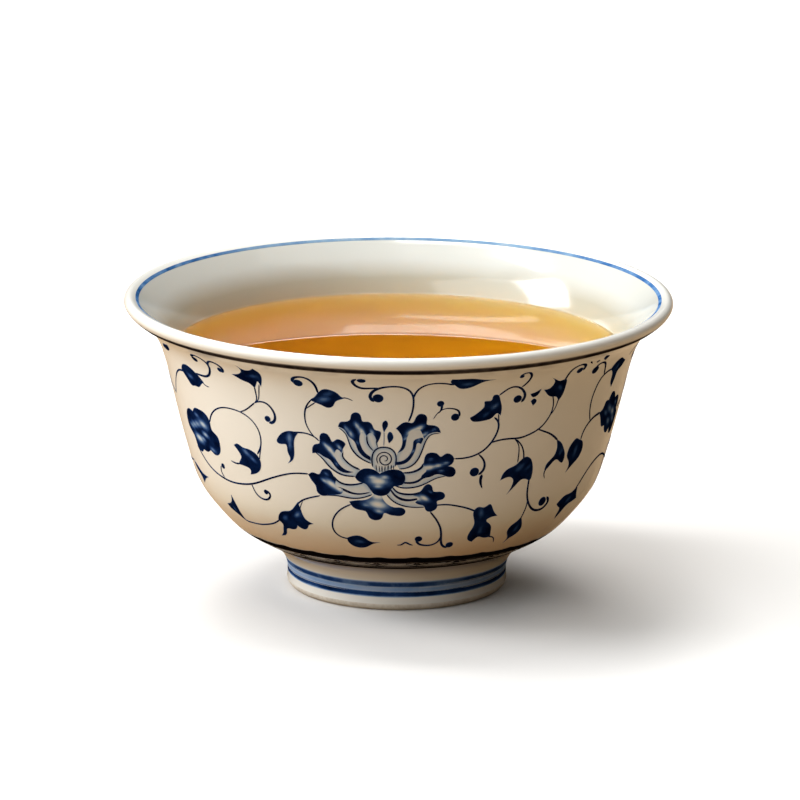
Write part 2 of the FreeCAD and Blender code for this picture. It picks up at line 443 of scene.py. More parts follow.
def closed_outline(points):
    """Evenly spaced points round an outline that is smooth but for its tips, anticlockwise."""
    flat = [(point[0] * DEGREE, point[1]) for point in points]
    tips = [i for i, point in enumerate(points) if len(point) == 3]
    if tips:
        runs = []
        for start, end in zip(tips, tips[1:] + [tips[0] + len(flat)]):
            run = [flat[i % len(flat)] for i in range(start, end + 1)]
            runs.append(smooth(run, OUTLINE_SPACING)[:-1])
        edge = np.concatenate(runs)
    else:
        count, overlap = len(flat), 3
        wrapped = flat[-overlap:] + flat + flat[:overlap + 1]
        line = smooth(wrapped, OUTLINE_SPACING)
        lengths = lengths_along(np.array(wrapped))
        part = np.linspace(0, 1, len(line))
        keep = (part >= lengths[overlap] / lengths[-1]) & (part < lengths[overlap + count] / lengths[-1])
        edge = line[keep]
    ahead = np.roll(edge, -1, axis=0)
    area = np.sum(edge[:, 0] * ahead[:, 1] - ahead[:, 0] * edge[:, 1])
    return edge if area > 0 else edge[::-1]


def inward(edge):
    """Unit directions into an anticlockwise outline at its points."""
    along = np.roll(edge, -1, axis=0) - np.roll(edge, 1, axis=0)
    along /= np.maximum(np.linalg.norm(along, axis=1), 1e-9)[:, None]
    return np.stack([-along[:, 1], along[:, 0]], axis=1)


def distance_to(points, edge):
    """The distance of each point from a closed outline."""
    if len(points) == 0:
        return np.zeros(0)
    start, span = edge, np.roll(edge, -1, axis=0) - edge
    offset = points[:, None, :] - start[None]
    part = np.clip((offset * span).sum(axis=2) / np.maximum((span ** 2).sum(axis=1), 1e-12), 0, 1)
    return np.linalg.norm(offset - part[:, :, None] * span, axis=2).min(axis=1)


def tipped(route, *places):
    """A route that is sharp at some of its points."""
    route = list(route)
    for place in places:
        route[place] = (*route[place], TIP)
    return route


# Outlines of the middle flower, in degrees round the bowl and millimetres up the wall
HEART = [
    (-11, 24, TIP), (-10, 25), (-8.6, 25.6), (-6.6, 25.6), (-5.2, 25.2), (-4.5, 24.8, TIP), (-3.4, 25.2),
    (-1.2, 25.6), (0.8, 25.4), (1.9, 24.6), (2, 23.5), (1, 22.7), (-0.8, 22.5), (-1.8, 21.6),
    (-2.9, 20.9), (-4.6, 20.7), (-6.1, 21), (-7.2, 21.9), (-8.6, 22.9), (-10, 23.2),
]
TALL_LEFT = [
    (-14.6, 32.9, TIP), (-13.9, 33.8), (-12.4, 33.95), (-11.6, 34.3), (-11.1, 35.3), (-10, 35.7),
    (-8.9, 35.2), (-8.4, 34.1), (-7.2, 34.1), (-6.1, 33.5), (-5.5, 32.7), (-4.2, 32.4), (-4.2, 31.5),
    (-5.2, 30.1, TIP), (-5.7, 31.6), (-6.6, 32.1), (-7.6, 31.5, TIP), (-8.6, 32.3), (-9.3, 31.4),
    (-9.1, 29.8), (-8.2, 28.6), (-6.7, 27.8, TIP), (-6.7, 27.1, TIP), (-8.6, 27.8), (-10, 29.1),
    (-10.8, 30.5), (-12.1, 31.3), (-13.2, 32.5),
]
TALL_RIGHT = [
    (-0.4, 33, TIP), (0.8, 33.8), (2.2, 34.15), (3.5, 34), (4.3, 34.9), (5.3, 35.6), (6.4, 35.5),
    (7.1, 34.7), (7.1, 33.7), (8.6, 33.5), (9.9, 33.1), (10.6, 32.1, TIP), (9.2, 32.25), (7.6, 31.9),
    (6.5, 31.1, TIP), (5.9, 32.2), (5, 32.9), (3.9, 32.7), (2.9, 32.1), (2.3, 31.2), (2, 30), (1.3, 29.1),
    (0, 28.6, TIP), (0.9, 29.6), (1.2, 30.8), (0.9, 31.8),
]
TALL_RIGHT_RIB = [
    (6.2, 31.3), (5, 31.2), (4.1, 30.9), (3.8, 29.8), (3.2, 28.5), (2.2, 27.6), (0.8, 27.1),
    (-0.6, 27, TIP), (-0.6, 26.4, TIP), (1, 26.5), (2.6, 27), (3.9, 28.2), (4.6, 29.6), (5, 30.4),
    (5.8, 30.2, TIP),
]
MIDDLE_LEFT = [
    (-21.9, 27.7, TIP), (-21.7, 28.8), (-20.9, 29.4), (-19.9, 29.6), (-19.6, 30.7), (-18.9, 31.5),
    (-17.8, 31.5), (-16.9, 30.8), (-16.3, 30.1), (-15.2, 30.6), (-14, 30.5), (-13, 29.9), (-13.5, 29.2),
    (-14.1, 28.2, TIP), (-15.2, 28.8), (-15.9, 28), (-15.6, 26.9), (-14.6, 25.9), (-13.2, 25.2),
    (-11.3, 24.9, TIP), (-12.8, 24.65), (-14.8, 24.9), (-16.3, 25.9), (-17.5, 26.9), (-18.9, 27.3),
    (-20.2, 27.8),
]
LOWER_LEFT = [
    (-23.7, 23.7, TIP), (-22.3, 24.2), (-20.6, 24), (-20, 24.6), (-18.8, 25.1), (-17.5, 24.9),
    (-16.8, 24.1), (-16, 23.2, TIP), (-16.3, 22.4), (-15.6, 21.9), (-14.4, 21.5), (-14.6, 20.9),
    (-16.2, 20.5), (-18.6, 20.2), (-20.6, 20.1), (-21.7, 20.7), (-21.9, 21.7), (-22.8, 22.6),
]
BOTTOM = [
    (-12.9, 19.4, TIP), (-10.8, 19.7), (-8.4, 19.9), (-6.8, 20.5), (-6, 21.1, TIP), (-4.2, 21.1, TIP),
    (-3.7, 20.1), (-2.4, 19.1), (-0.6, 18.6), (1.4, 18.5), (2.3, 17.9), (1.5, 17.1), (-0.4, 17),
    (-2.4, 17.3), (-3.4, 17.5), (-4, 16.7), (-5.2, 16.1), (-6.6, 16.1), (-7.8, 16.7), (-8.4, 17.6),
    (-10.2, 17.9), (-12, 18.4),
]
LOWER_RIGHT = [
    (6.3, 21.7), (7.2, 22.6), (8.2, 22.85), (9.2, 22.3), (9.6, 21.5), (11, 21.4), (12.4, 21.1),
    (12.8, 20.5), (12, 19.9), (10.7, 19.6), (10.9, 18.8), (10.2, 18), (8.9, 17.7), (7.8, 18), (7.2, 18.8),
    (5.9, 19.1), (4.8, 19.5, TIP), (5.4, 20.2), (4.2, 20.8, TIP), (5.4, 21.3),
]
MIDDLE_RIGHT = [
    (6.8, 27.6), (7.4, 28.4), (8.8, 28.6), (10.1, 28.3), (10.9, 27.8), (12.2, 28.3), (13.6, 28.1),
    (14.4, 27.3), (14.1, 26.5), (13, 26, TIP), (14.2, 25.8), (15.1, 25), (14.7, 24.2), (13.5, 24),
    (11.8, 24.4), (10, 24.6), (8.6, 24.2), (7.2, 24), (6, 23.6, TIP), (6.4, 24.6), (7.4, 25.3),
    (6.6, 26.2, TIP),
]
DROPS = [
    [(-2.9, 34.4), (-2.3, 33.8), (-2.7, 33), (-3.3, 32.2, TIP), (-3.7, 33.2), (-3.5, 34.1)],
    [(-1.9, 32.4), (-1.1, 31.8), (-1.3, 30.9), (-2.1, 30.3, TIP), (-2.5, 31.3), (-2.4, 32)],
]
# Shapes, each with its lights: degrees, millimetres, radius and strength
FLOWER_FILLS = [
    (HEART, [(-4.9, 23.4, 0.8, 1), (-6.4, 24.1, 0.34, 0.85), (-3.2, 24.2, 0.34, 0.85),
      (-5, 22.4, 0.36, 0.8)]),
    (TALL_LEFT, [(-12.6, 32.7, 0.3, 0.65), (-11.5, 31.8, 0.36, 0.8), (-9.9, 33.3, 0.36, 0.85),
      (-8.7, 32.2, 0.45, 1), (-9.9, 30.2, 0.18, 0.6), (-6.2, 32.2, 0.3, 0.8)]),
    (TALL_RIGHT, [(5.2, 33, 0.46, 1), (3.4, 32.4, 0.5, 1), (6.6, 31.9, 0.36, 0.8), (1.9, 31.2, 0.22, 0.7),
      (8.8, 32.7, 0.2, 0.6)]),
    (TALL_RIGHT_RIB, [(3.9, 28.9, 0.2, 0.6), (5.2, 30.9, 0.24, 0.6)]),
    (MIDDLE_LEFT, [(-18.2, 29.4, 0.3, 0.7), (-17.1, 28.7, 0.46, 0.95), (-15.9, 27.7, 0.42, 0.95),
      (-15.6, 26.2, 0.22, 0.6), (-14.6, 29.2, 0.3, 0.8)]),
    (LOWER_LEFT, [(-17.4, 22.4, 0.6, 1), (-19.4, 22.9, 0.3, 0.75), (-15.4, 21.6, 0.5, 1),
      (-18.6, 24.2, 0.2, 0.5)]),
    (BOTTOM, [(-5.2, 19.1, 0.95, 1), (-4.9, 17.8, 0.4, 0.8), (-5.2, 20.6, 0.7, 1),
      (-8.4, 18.9, 0.26, 0.6)]),
    (LOWER_RIGHT, [(7.2, 20.3, 0.5, 1), (5.2, 20.3, 0.46, 1), (8.8, 21.4, 0.22, 0.5)]),
    (MIDDLE_RIGHT, [(8.2, 25.9, 0.5, 1), (6.4, 25.8, 0.5, 1), (10.4, 26.2, 0.36, 0.95),
      (12.4, 26.6, 0.26, 0.7), (8.4, 27.4, 0.2, 0.5), (11.2, 25.2, 0.22, 0.6)]),
    *[(drop, []) for drop in DROPS],
]
# Edges and folds of its petals, and the dome of its seed pod
POD_DOME = [
    (-6.3, 26), (-6.4, 27.4), (-5.9, 28.7), (-4.8, 29.4), (-3.3, 29.6), (-1.8, 29.4), (-0.7, 28.7),
    (-0.3, 27.5), (-0.5, 26.2),
]
TALL_LEFT_EDGE = [
    (-14.4, 32.7), (-12.9, 31.8), (-12.2, 30.6), (-11.5, 29.2), (-10.2, 28), (-8.3, 27.1), (-6.6, 26.6),
]
TALL_RIGHT_EDGE = [
    (10.3, 32), (8.2, 31.8), (7.1, 30.9), (6.4, 29.6), (5.5, 27.9), (4.2, 26.6), (2.4, 25.9), (0.4, 25.7),
]
MIDDLE_LEFT_EDGE = [(-21, 27.9), (-19.5, 27.1), (-18, 25.9), (-16.3, 24.9), (-14.2, 24.25), (-11, 24.1)]
MIDDLE_RIGHT_FOLD = [(6.8, 26.8), (6.2, 26), (5, 25.4), (3.2, 25.05), (1.4, 25)]
MIDDLE_RIGHT_EDGE = [
    (12.6, 24.2), (10.2, 23.9), (8, 23.2), (6, 22.6), (3.4, 22.25), (1, 22.3), (-0.8, 22.7),
]
LOWER_LEFT_FOLD = [(-16.7, 23.9), (-15.7, 23.1), (-14.2, 22.6), (-12.3, 22.5), (-10.4, 22.7), (-8.8, 23)]
LOWER_LEFT_EDGE = [(-19.5, 20.2), (-16, 20.3), (-12.6, 20.05), (-9.2, 20.25), (-6.6, 20.9)]
LOWER_RIGHT_FOLD = [(6.4, 21.4), (4.2, 21.05), (1.8, 21.1), (-0.1, 21.5), (-1.3, 22.4)]
LOWER_RIGHT_EDGE = [(7.4, 18.6), (4.6, 18.6), (2, 18.85), (-0.2, 19.4), (-1.8, 20.2), (-2.8, 21)]

# Pale washes under the petals
FLOWER_WASHES = [
    [*tipped(TALL_LEFT_EDGE, -1), (-6.3, 27.6), (-5.9, 28.8), (-6.9, 29.6), (-7.5, 30.6), (-7.6, 31.8),
     (-9.5, 32.8), (-12, 33.2)],
    [(-7.5, 31.8), (-6.4, 32.2), (-5.2, 31.2), (-4.8, 29.5, TIP), (-5.9, 28.9), (-6.9, 29.6),
     (-7.4, 30.6)],
    [(0, 28.5), (-0.4, 27.2), (0.4, 25.8, TIP), *TALL_RIGHT_EDGE[-2:0:-1], (9.5, 32.1, TIP), (7.5, 32.8),
     (4, 33.2), (1.5, 32.8), (1, 31.8), (1.2, 30.8), (0.9, 29.6)],
    [*tipped(MIDDLE_LEFT_EDGE, 0, -1), (-9.6, 25.3, TIP), (-11.6, 26), (-13.2, 26.9), (-13.9, 27.7),
     (-13.6, 28.6), (-16, 29.5), (-19, 29)],
    [*tipped(MIDDLE_RIGHT_FOLD[:0:-1], 0), (7, 26.8), (9, 27), (12, 26.4),
     *tipped(MIDDLE_RIGHT_EDGE[:-1], 0, -1), (1.6, 23.6)],
    [*tipped(LOWER_LEFT_FOLD, -1), (-7.2, 21.9), *tipped(LOWER_LEFT_EDGE[:0:-1], 0), (-19.5, 20.4),
     (-20, 22), (-18.5, 23.6)],
    [*tipped(LOWER_RIGHT_FOLD[::-1], 0), (9, 21), (9, 19.3), *tipped(LOWER_RIGHT_EDGE, -1)],
    [*tipped(POD_DOME, 0, -1), (-2.5, 25.4), (-4.5, 25)],
]
# Routes of the strokes, each with its widths and, where it is pale, its tone
FLOWER_STROKES = [
    # seed pod: dome, spiral and the ribs under it
    (POD_DOME, (0.2, 0.24, 0.2)),
    ([(-4.9, 26.6), (-5.2, 27.5), (-4.5, 28.4), (-3.3, 28.7), (-2.1, 28.4), (-1.5, 27.5), (-2, 26.7),
      (-3.2, 26.4), (-4.2, 26.8), (-4.4, 27.6), (-3.4, 28.1), (-2.5, 27.7), (-2.7, 27.2), (-3.3, 27.1)],
      (0.14, 0.2, 0.16)),
    ([(-5.4, 26.4), (-5.3, 25.2)], (0.16, 0.12)),
    ([(-4.6, 26.2), (-4.5, 25)], (0.16, 0.12)),
    ([(-3.9, 26.2), (-3.9, 25)], (0.22, 0.14)),
    ([(-3.1, 26.2), (-3.2, 25.2)], (0.2, 0.14)),
    ([(-2.3, 26.4), (-2.4, 25.4)], (0.2, 0.16)),
    ([(-1.5, 26.4), (-1.6, 25.5)], (0.2, 0.16)),
    ([(-0.9, 26.4), (-1, 25.5)], (0.14, 0.12)),
    # tall petals
    (TALL_LEFT_EDGE, (0.12, 0.2, 0.26, 0.2)),
    ([(-7.5, 31.6), (-7.5, 30.6), (-6.9, 29.6), (-6, 28.9)], (0.2, 0.24, 0.14)),
    ([(-5.2, 30.9), (-5.1, 30), (-4.8, 29.5)], (0.16, 0.1)),
    (TALL_RIGHT_EDGE, (0.12, 0.2, 0.24, 0.2)),
    ([(-3.3, 32.4), (-3.3, 31.2), (-3.4, 29.8)], (0.12, 0.1), 0.55),
    # middle petals
    ([(-13.7, 28.4), (-13.9, 27.7), (-13.2, 26.9), (-11.6, 26), (-9.6, 25.4)], (0.2, 0.26, 0.3)),
    (MIDDLE_LEFT_EDGE, (0.16, 0.24, 0.28, 0.2)),
    (MIDDLE_RIGHT_FOLD, (0.34, 0.36, 0.24)),
    ([(8, 24.8), (6.6, 24.1), (5.4, 23.5), (3.6, 23.15), (1.4, 23.2)], (0.3, 0.4, 0.3)),
    (MIDDLE_RIGHT_EDGE, (0.14, 0.2, 0.26, 0.2)),
    # lower petals
    (LOWER_LEFT_FOLD, (0.24, 0.32, 0.24)),
    ([(-17, 21.7), (-15, 21.7), (-13.4, 21.3), (-12, 21), (-10, 20.9), (-7.2, 21.3)],
      (0.3, 0.4, 0.3, 0.18)),
    (LOWER_LEFT_EDGE, (0.2, 0.24, 0.2)),
    (LOWER_RIGHT_FOLD, (0.3, 0.32, 0.22)),
    ([(5.6, 20.2), (3.4, 19.95), (1.4, 20.1), (-0.5, 20.8), (-1.8, 22)], (0.34, 0.44, 0.24)),
    (LOWER_RIGHT_EDGE, (0.14, 0.24, 0.2)),
]

# The round flowers to the left and right of it
ROUND_LEFT = [
    (-60.4, 31), (-57.6, 30.8), (-55.6, 29.6), (-55.3, 28), (-53.4, 27.2), (-52.9, 25.6), (-53.8, 24.1),
    (-56.2, 23.4), (-58.4, 24, TIP), (-60.2, 23.4), (-62.6, 23.5, TIP), (-64.4, 22.8), (-66.5, 23.5),
    (-67.2, 25.2), (-69.3, 26.4), (-69.8, 28), (-68.6, 29.5), (-66.4, 30.2), (-64.2, 30, TIP),
    (-62.4, 30.9),
]
ROUND_LEFT_LIGHTS = [
    (-59.6, 28.4, 0.7, 0.85), (-59.4, 26.6, 0.5, 0.8), (-64.8, 27.6, 0.5, 0.7), (-66.6, 27.2, 0.45, 0.6),
    (-62.8, 28, 0.5, 0.7), (-63.6, 25.4, 0.75, 0.9), (-57, 24.2, 0.4, 0.6), (-62.2, 29.7, 0.35, 0.5),
    (-61, 25.6, 0.35, 0.6),
]
ROUND_RIGHT = [
    (61.7, 30.6, TIP), (63.6, 31.2), (64.4, 32.2), (66.2, 32.2, TIP), (67.6, 33.4), (69.6, 33.1),
    (71, 31.9, TIP), (73.4, 32), (75.4, 30.8), (75.4, 29.4, TIP), (77.4, 28.4), (77.2, 26.4), (75.4, 25),
    (73.4, 25.4), (72.4, 26.4, TIP), (70.6, 25.8), (68.4, 26.4), (67.2, 27.6, TIP), (65.4, 27.6),
    (64, 28.6), (63, 29.6),
]
ROUND_RIGHT_LIGHTS = [
    (68.4, 30.4, 0.6, 0.6), (71.6, 29.4, 0.6, 0.75), (73.6, 27.8, 0.5, 0.6), (69.6, 28, 0.5, 0.6),
    (66, 30, 0.4, 0.5), (72.6, 30.9, 0.35, 0.5),
]

# Leaves, each with where it is lighter
LEAVES = [
    ([(-64.8, 37.3, TIP), (-63.6, 38.3), (-61.8, 38.8), (-60, 38.8), (-57.6, 38.2), (-55.8, 37.5),
      (-54.3, 36.6, TIP), (-55.8, 36), (-57.4, 35.3), (-59, 35.3), (-60.6, 35.1), (-62.4, 35.9),
      (-63.6, 36.6)], [(-60.4, 36.8, 0.4, 0.45)]),
    ([(-41.9, 40.1, TIP), (-39.6, 40.5), (-38.3, 41.3), (-38.5, 42.9, TIP), (-37.2, 41.9), (-35.6, 42),
      (-33.9, 42.9, TIP), (-32.8, 41.6), (-32.9, 40.4), (-33.9, 38.6, TIP), (-34.5, 39.6), (-35.1, 39),
      (-35.9, 38.1, TIP), (-37.2, 38.9), (-39, 39.2), (-40.4, 39.6)], [(-35.4, 40.6, 0.4, 0.35)]),
    ([(-46.8, 26.6, TIP), (-45.4, 27), (-43.6, 26.6), (-41.6, 26.5), (-40, 26.2), (-38.8, 25.7),
      (-38, 24.6), (-38.3, 23.5), (-39.4, 22.6), (-40.8, 22.1), (-42.5, 21.8, TIP), (-42.2, 22.7),
      (-43.8, 23.1), (-46.4, 23.2, TIP), (-45.5, 24), (-44.8, 24.7), (-45.3, 25.5), (-46, 26)],
      [(-42.6, 25.8, 0.4, 0.5), (-40.6, 24.8, 0.35, 0.45)]),
    ([(-36.3, 13.9, TIP), (-35.2, 15.2), (-33.4, 16), (-31.2, 16.3), (-29.6, 17.1), (-28, 18.3, TIP),
      (-27.4, 16.8), (-26.5, 15), (-24.4, 14.2, TIP), (-26, 13.8), (-27, 12.9), (-28.4, 12.6),
      (-30, 13.3, TIP), (-31, 12.4), (-32.6, 12.1), (-34.2, 12.1), (-35.4, 11), (-36.6, 10.1),
      (-38.8, 9.6, TIP), (-36.8, 10.9), (-35.9, 12), (-35.3, 13)], [(-33.4, 14.7, 0.4, 0.4),
      (-29, 15.7, 0.35, 0.6)]),
    ([(-53.6, 16.6, TIP), (-54.4, 15.4), (-55.8, 14.7), (-58.2, 14.2, TIP), (-57.4, 13.3), (-56.2, 12.8),
      (-54.8, 12.2), (-52.6, 11.3, TIP), (-52.8, 12.8), (-52.8, 14.6)], [(-55, 13.6, 0.3, 0.4)]),
    ([(-76, 19.5, TIP), (-72.4, 19), (-70, 18.4), (-65, 18.1, TIP), (-68, 17.3), (-70.6, 16.2, TIP),
      (-71.4, 17.4), (-73.8, 18.2)], []),
    ([(-73, 40.2, TIP), (-70.6, 41.3), (-68.4, 41.6), (-66.2, 42, TIP), (-67.8, 40.6), (-70.2, 39.9)],
      []),
    ([(-21, 37.3, TIP), (-19.8, 38.1), (-18.6, 39.1), (-17, 39.8), (-15.4, 39.6), (-14, 39),
      (-13.2, 38.4), (-12.4, 38.2, TIP), (-13.6, 37.9), (-14.8, 37.4), (-15.6, 36.5), (-16.8, 36.2),
      (-18.4, 36.6), (-19.6, 36.9)], [(-17.6, 37.7, 0.5, 0.55), (-16.6, 38.8, 0.35, 0.35)]),
    ([(-25.2, 31.1, TIP), (-28, 31.2), (-29.8, 30.7), (-31.2, 29.8), (-31.7, 28.9), (-30.6, 28.6),
      (-29.2, 28.7), (-28.9, 27.4), (-28.4, 26.2), (-29.4, 25.2, TIP), (-27.7, 26), (-27, 27.2),
      (-26.8, 28.8), (-26.4, 30)], [(-27.9, 30, 0.45, 0.65), (-28, 28.6, 0.3, 0.4)]),
    ([(11.9, 42.9, TIP), (14, 42.8), (17, 42.7), (19.2, 42.2), (22.4, 41.9, TIP), (19.6, 41.5),
      (18, 40.8), (16, 40.2), (14.2, 40.3), (12.8, 41.2), (11.9, 41.8)], [(16, 41.2, 0.35, 0.35)]),
    ([(17.6, 34.5, TIP), (18.9, 35), (20.2, 35.7), (21, 36.6), (20.9, 37.3), (22.6, 37.4), (23, 38.3),
      (23.9, 38.4), (24.9, 37.4), (25.6, 36), (25.6, 34.4, TIP), (24.6, 34.9), (23.4, 34.2), (21.6, 33.8),
      (19.4, 33.7), (18.2, 33.9)], [(23.7, 36.2, 0.35, 0.55), (21.8, 34.9, 0.3, 0.35)]),
    ([(36.8, 38.1, TIP), (38.6, 38.2), (39.5, 39.2), (38, 40.4, TIP), (39.8, 39.7), (41.2, 39.3),
      (43, 39.4), (43.6, 37.8), (43.3, 36.4), (42.3, 35.4, TIP), (41.2, 36.3), (39.6, 36.5), (38, 37.2)],
      [(41.8, 38, 0.3, 0.35)]),
    ([(28, 22.5, TIP), (28.6, 23.7), (30, 24.5), (31.8, 24.9), (33.4, 25.7), (34.8, 26.2), (36.2, 25.9),
      (37.5, 24.6), (38, 23), (37.5, 21.7), (36.2, 22), (34.8, 22.1), (33.4, 21.4), (30.7, 19.7, TIP),
      (32, 21.4), (31.9, 22.4), (30.8, 22.9), (29.2, 22.8)], [(33.6, 24.4, 0.45, 0.35),
      (36.2, 24.2, 0.3, 0.3)]),
    ([(37.8, 14.7, TIP), (39, 13.4), (40, 11.8), (39.4, 10.4), (38, 9.7), (36.3, 8.2, TIP), (36.6, 9.8),
      (35.6, 10.8), (34.9, 12), (35.4, 13), (36.8, 13.8)], [(37.8, 12, 0.35, 0.35)]),
    ([(44.4, 28.3, TIP), (46.4, 27.5), (48, 26.2), (49, 24.8), (48.6, 23.6), (47.2, 24), (45.8, 24.5),
      (44.4, 24), (43.4, 23.4), (42.3, 22.9), (42.3, 23.7), (43.4, 24.6), (44.8, 25.4), (45.2, 26.6)],
      [(47, 25.6, 0.3, 0.35)]),
    ([(52.6, 27.4), (54.2, 27), (55.6, 26.6), (56.7, 25), (55.6, 23.5), (53.6, 22.6), (51.2, 21.4, TIP),
      (51.8, 22.8), (51.2, 23.6), (50.2, 24.4), (50.2, 25.8), (51.2, 26.8)], [(53.4, 25.2, 0.45, 0.4)]),
    ([(61.6, 38.4, TIP), (63.4, 39.6), (65.6, 40), (67.6, 39.5), (70, 38.8, TIP), (68.2, 37.8),
      (66.6, 37.4), (66.2, 36.2), (65.2, 34.7, TIP), (64, 35.8), (63.6, 37.2)],
      [(65.4, 38.4, 0.35, 0.35)]),
    ([(60, 17.8, TIP), (57.2, 16.9), (54.4, 16.8), (51.4, 15.5, TIP), (52.8, 14.8), (54.2, 14.2),
      (54.6, 12.8), (55.6, 11.6, TIP), (56.4, 13.2), (57.6, 14.3), (60, 14.8), (62.4, 15.1, TIP),
      (60.8, 16.4)], [(57, 15.6, 0.4, 0.35)]),
    ([(-15, 11.6, TIP), (-13.2, 12.2), (-11.4, 12.4), (-9.4, 11.8), (-8.2, 11.1), (-5, 10.8, TIP),
      (-7.4, 10.3), (-9.4, 9.4), (-11.4, 9.1), (-13.6, 9.5), (-14.9, 10.6)], [(-11.2, 10.8, 0.4, 0.4)]),
    ([(21.5, 17.4), (22.8, 18), (24.4, 17.8), (26, 18.3), (27.3, 17.2), (29.1, 15.8, TIP), (27.2, 15.7),
      (25.9, 15.2), (27.4, 14.2), (28.6, 12.6), (29.4, 10.9, TIP), (27, 10.9), (25.2, 11.3),
      (23.6, 10.1, TIP), (21.9, 10.8), (21.5, 12.4), (22.3, 14.6), (21.7, 16)], [(23.8, 16.8, 0.4, 0.4),
      (24.8, 12.9, 0.4, 0.3)]),
    ([(52.8, 43.4, TIP), (53.6, 42.2), (55.2, 41.5, TIP), (55.2, 42.6)], []),
    ([(33, 37.7, TIP), (34.4, 37.9), (35.9, 38.4, TIP), (35.2, 37.3), (34, 37)], []),
    ([(33.5, 36.3, TIP), (34.4, 36.7), (35.2, 36.3), (34.4, 35.4, TIP)], []),
    # between the right flower and the next round flower
    ([(84, 38.6, TIP), (86, 39.8), (88.6, 40.2), (91.6, 39, TIP), (89.4, 37.8), (87.2, 37.4)],
      [(87.8, 38.8, 0.35, 0.4)]),
    ([(82.6, 12.6, TIP), (84.6, 13.8), (87, 14.2), (90.6, 12.8, TIP), (88, 11.6), (86.6, 10.2, TIP),
      (84.8, 11.2)], [(86.4, 12.6, 0.35, 0.4)]),
    ([(86, 25.2, TIP), (88, 26), (90.2, 25.6), (92.8, 24, TIP), (90.6, 23.4), (89.2, 22, TIP), (87.4, 23),
      (86.8, 24.2)], [(89, 24.6, 0.35, 0.4)]),
]

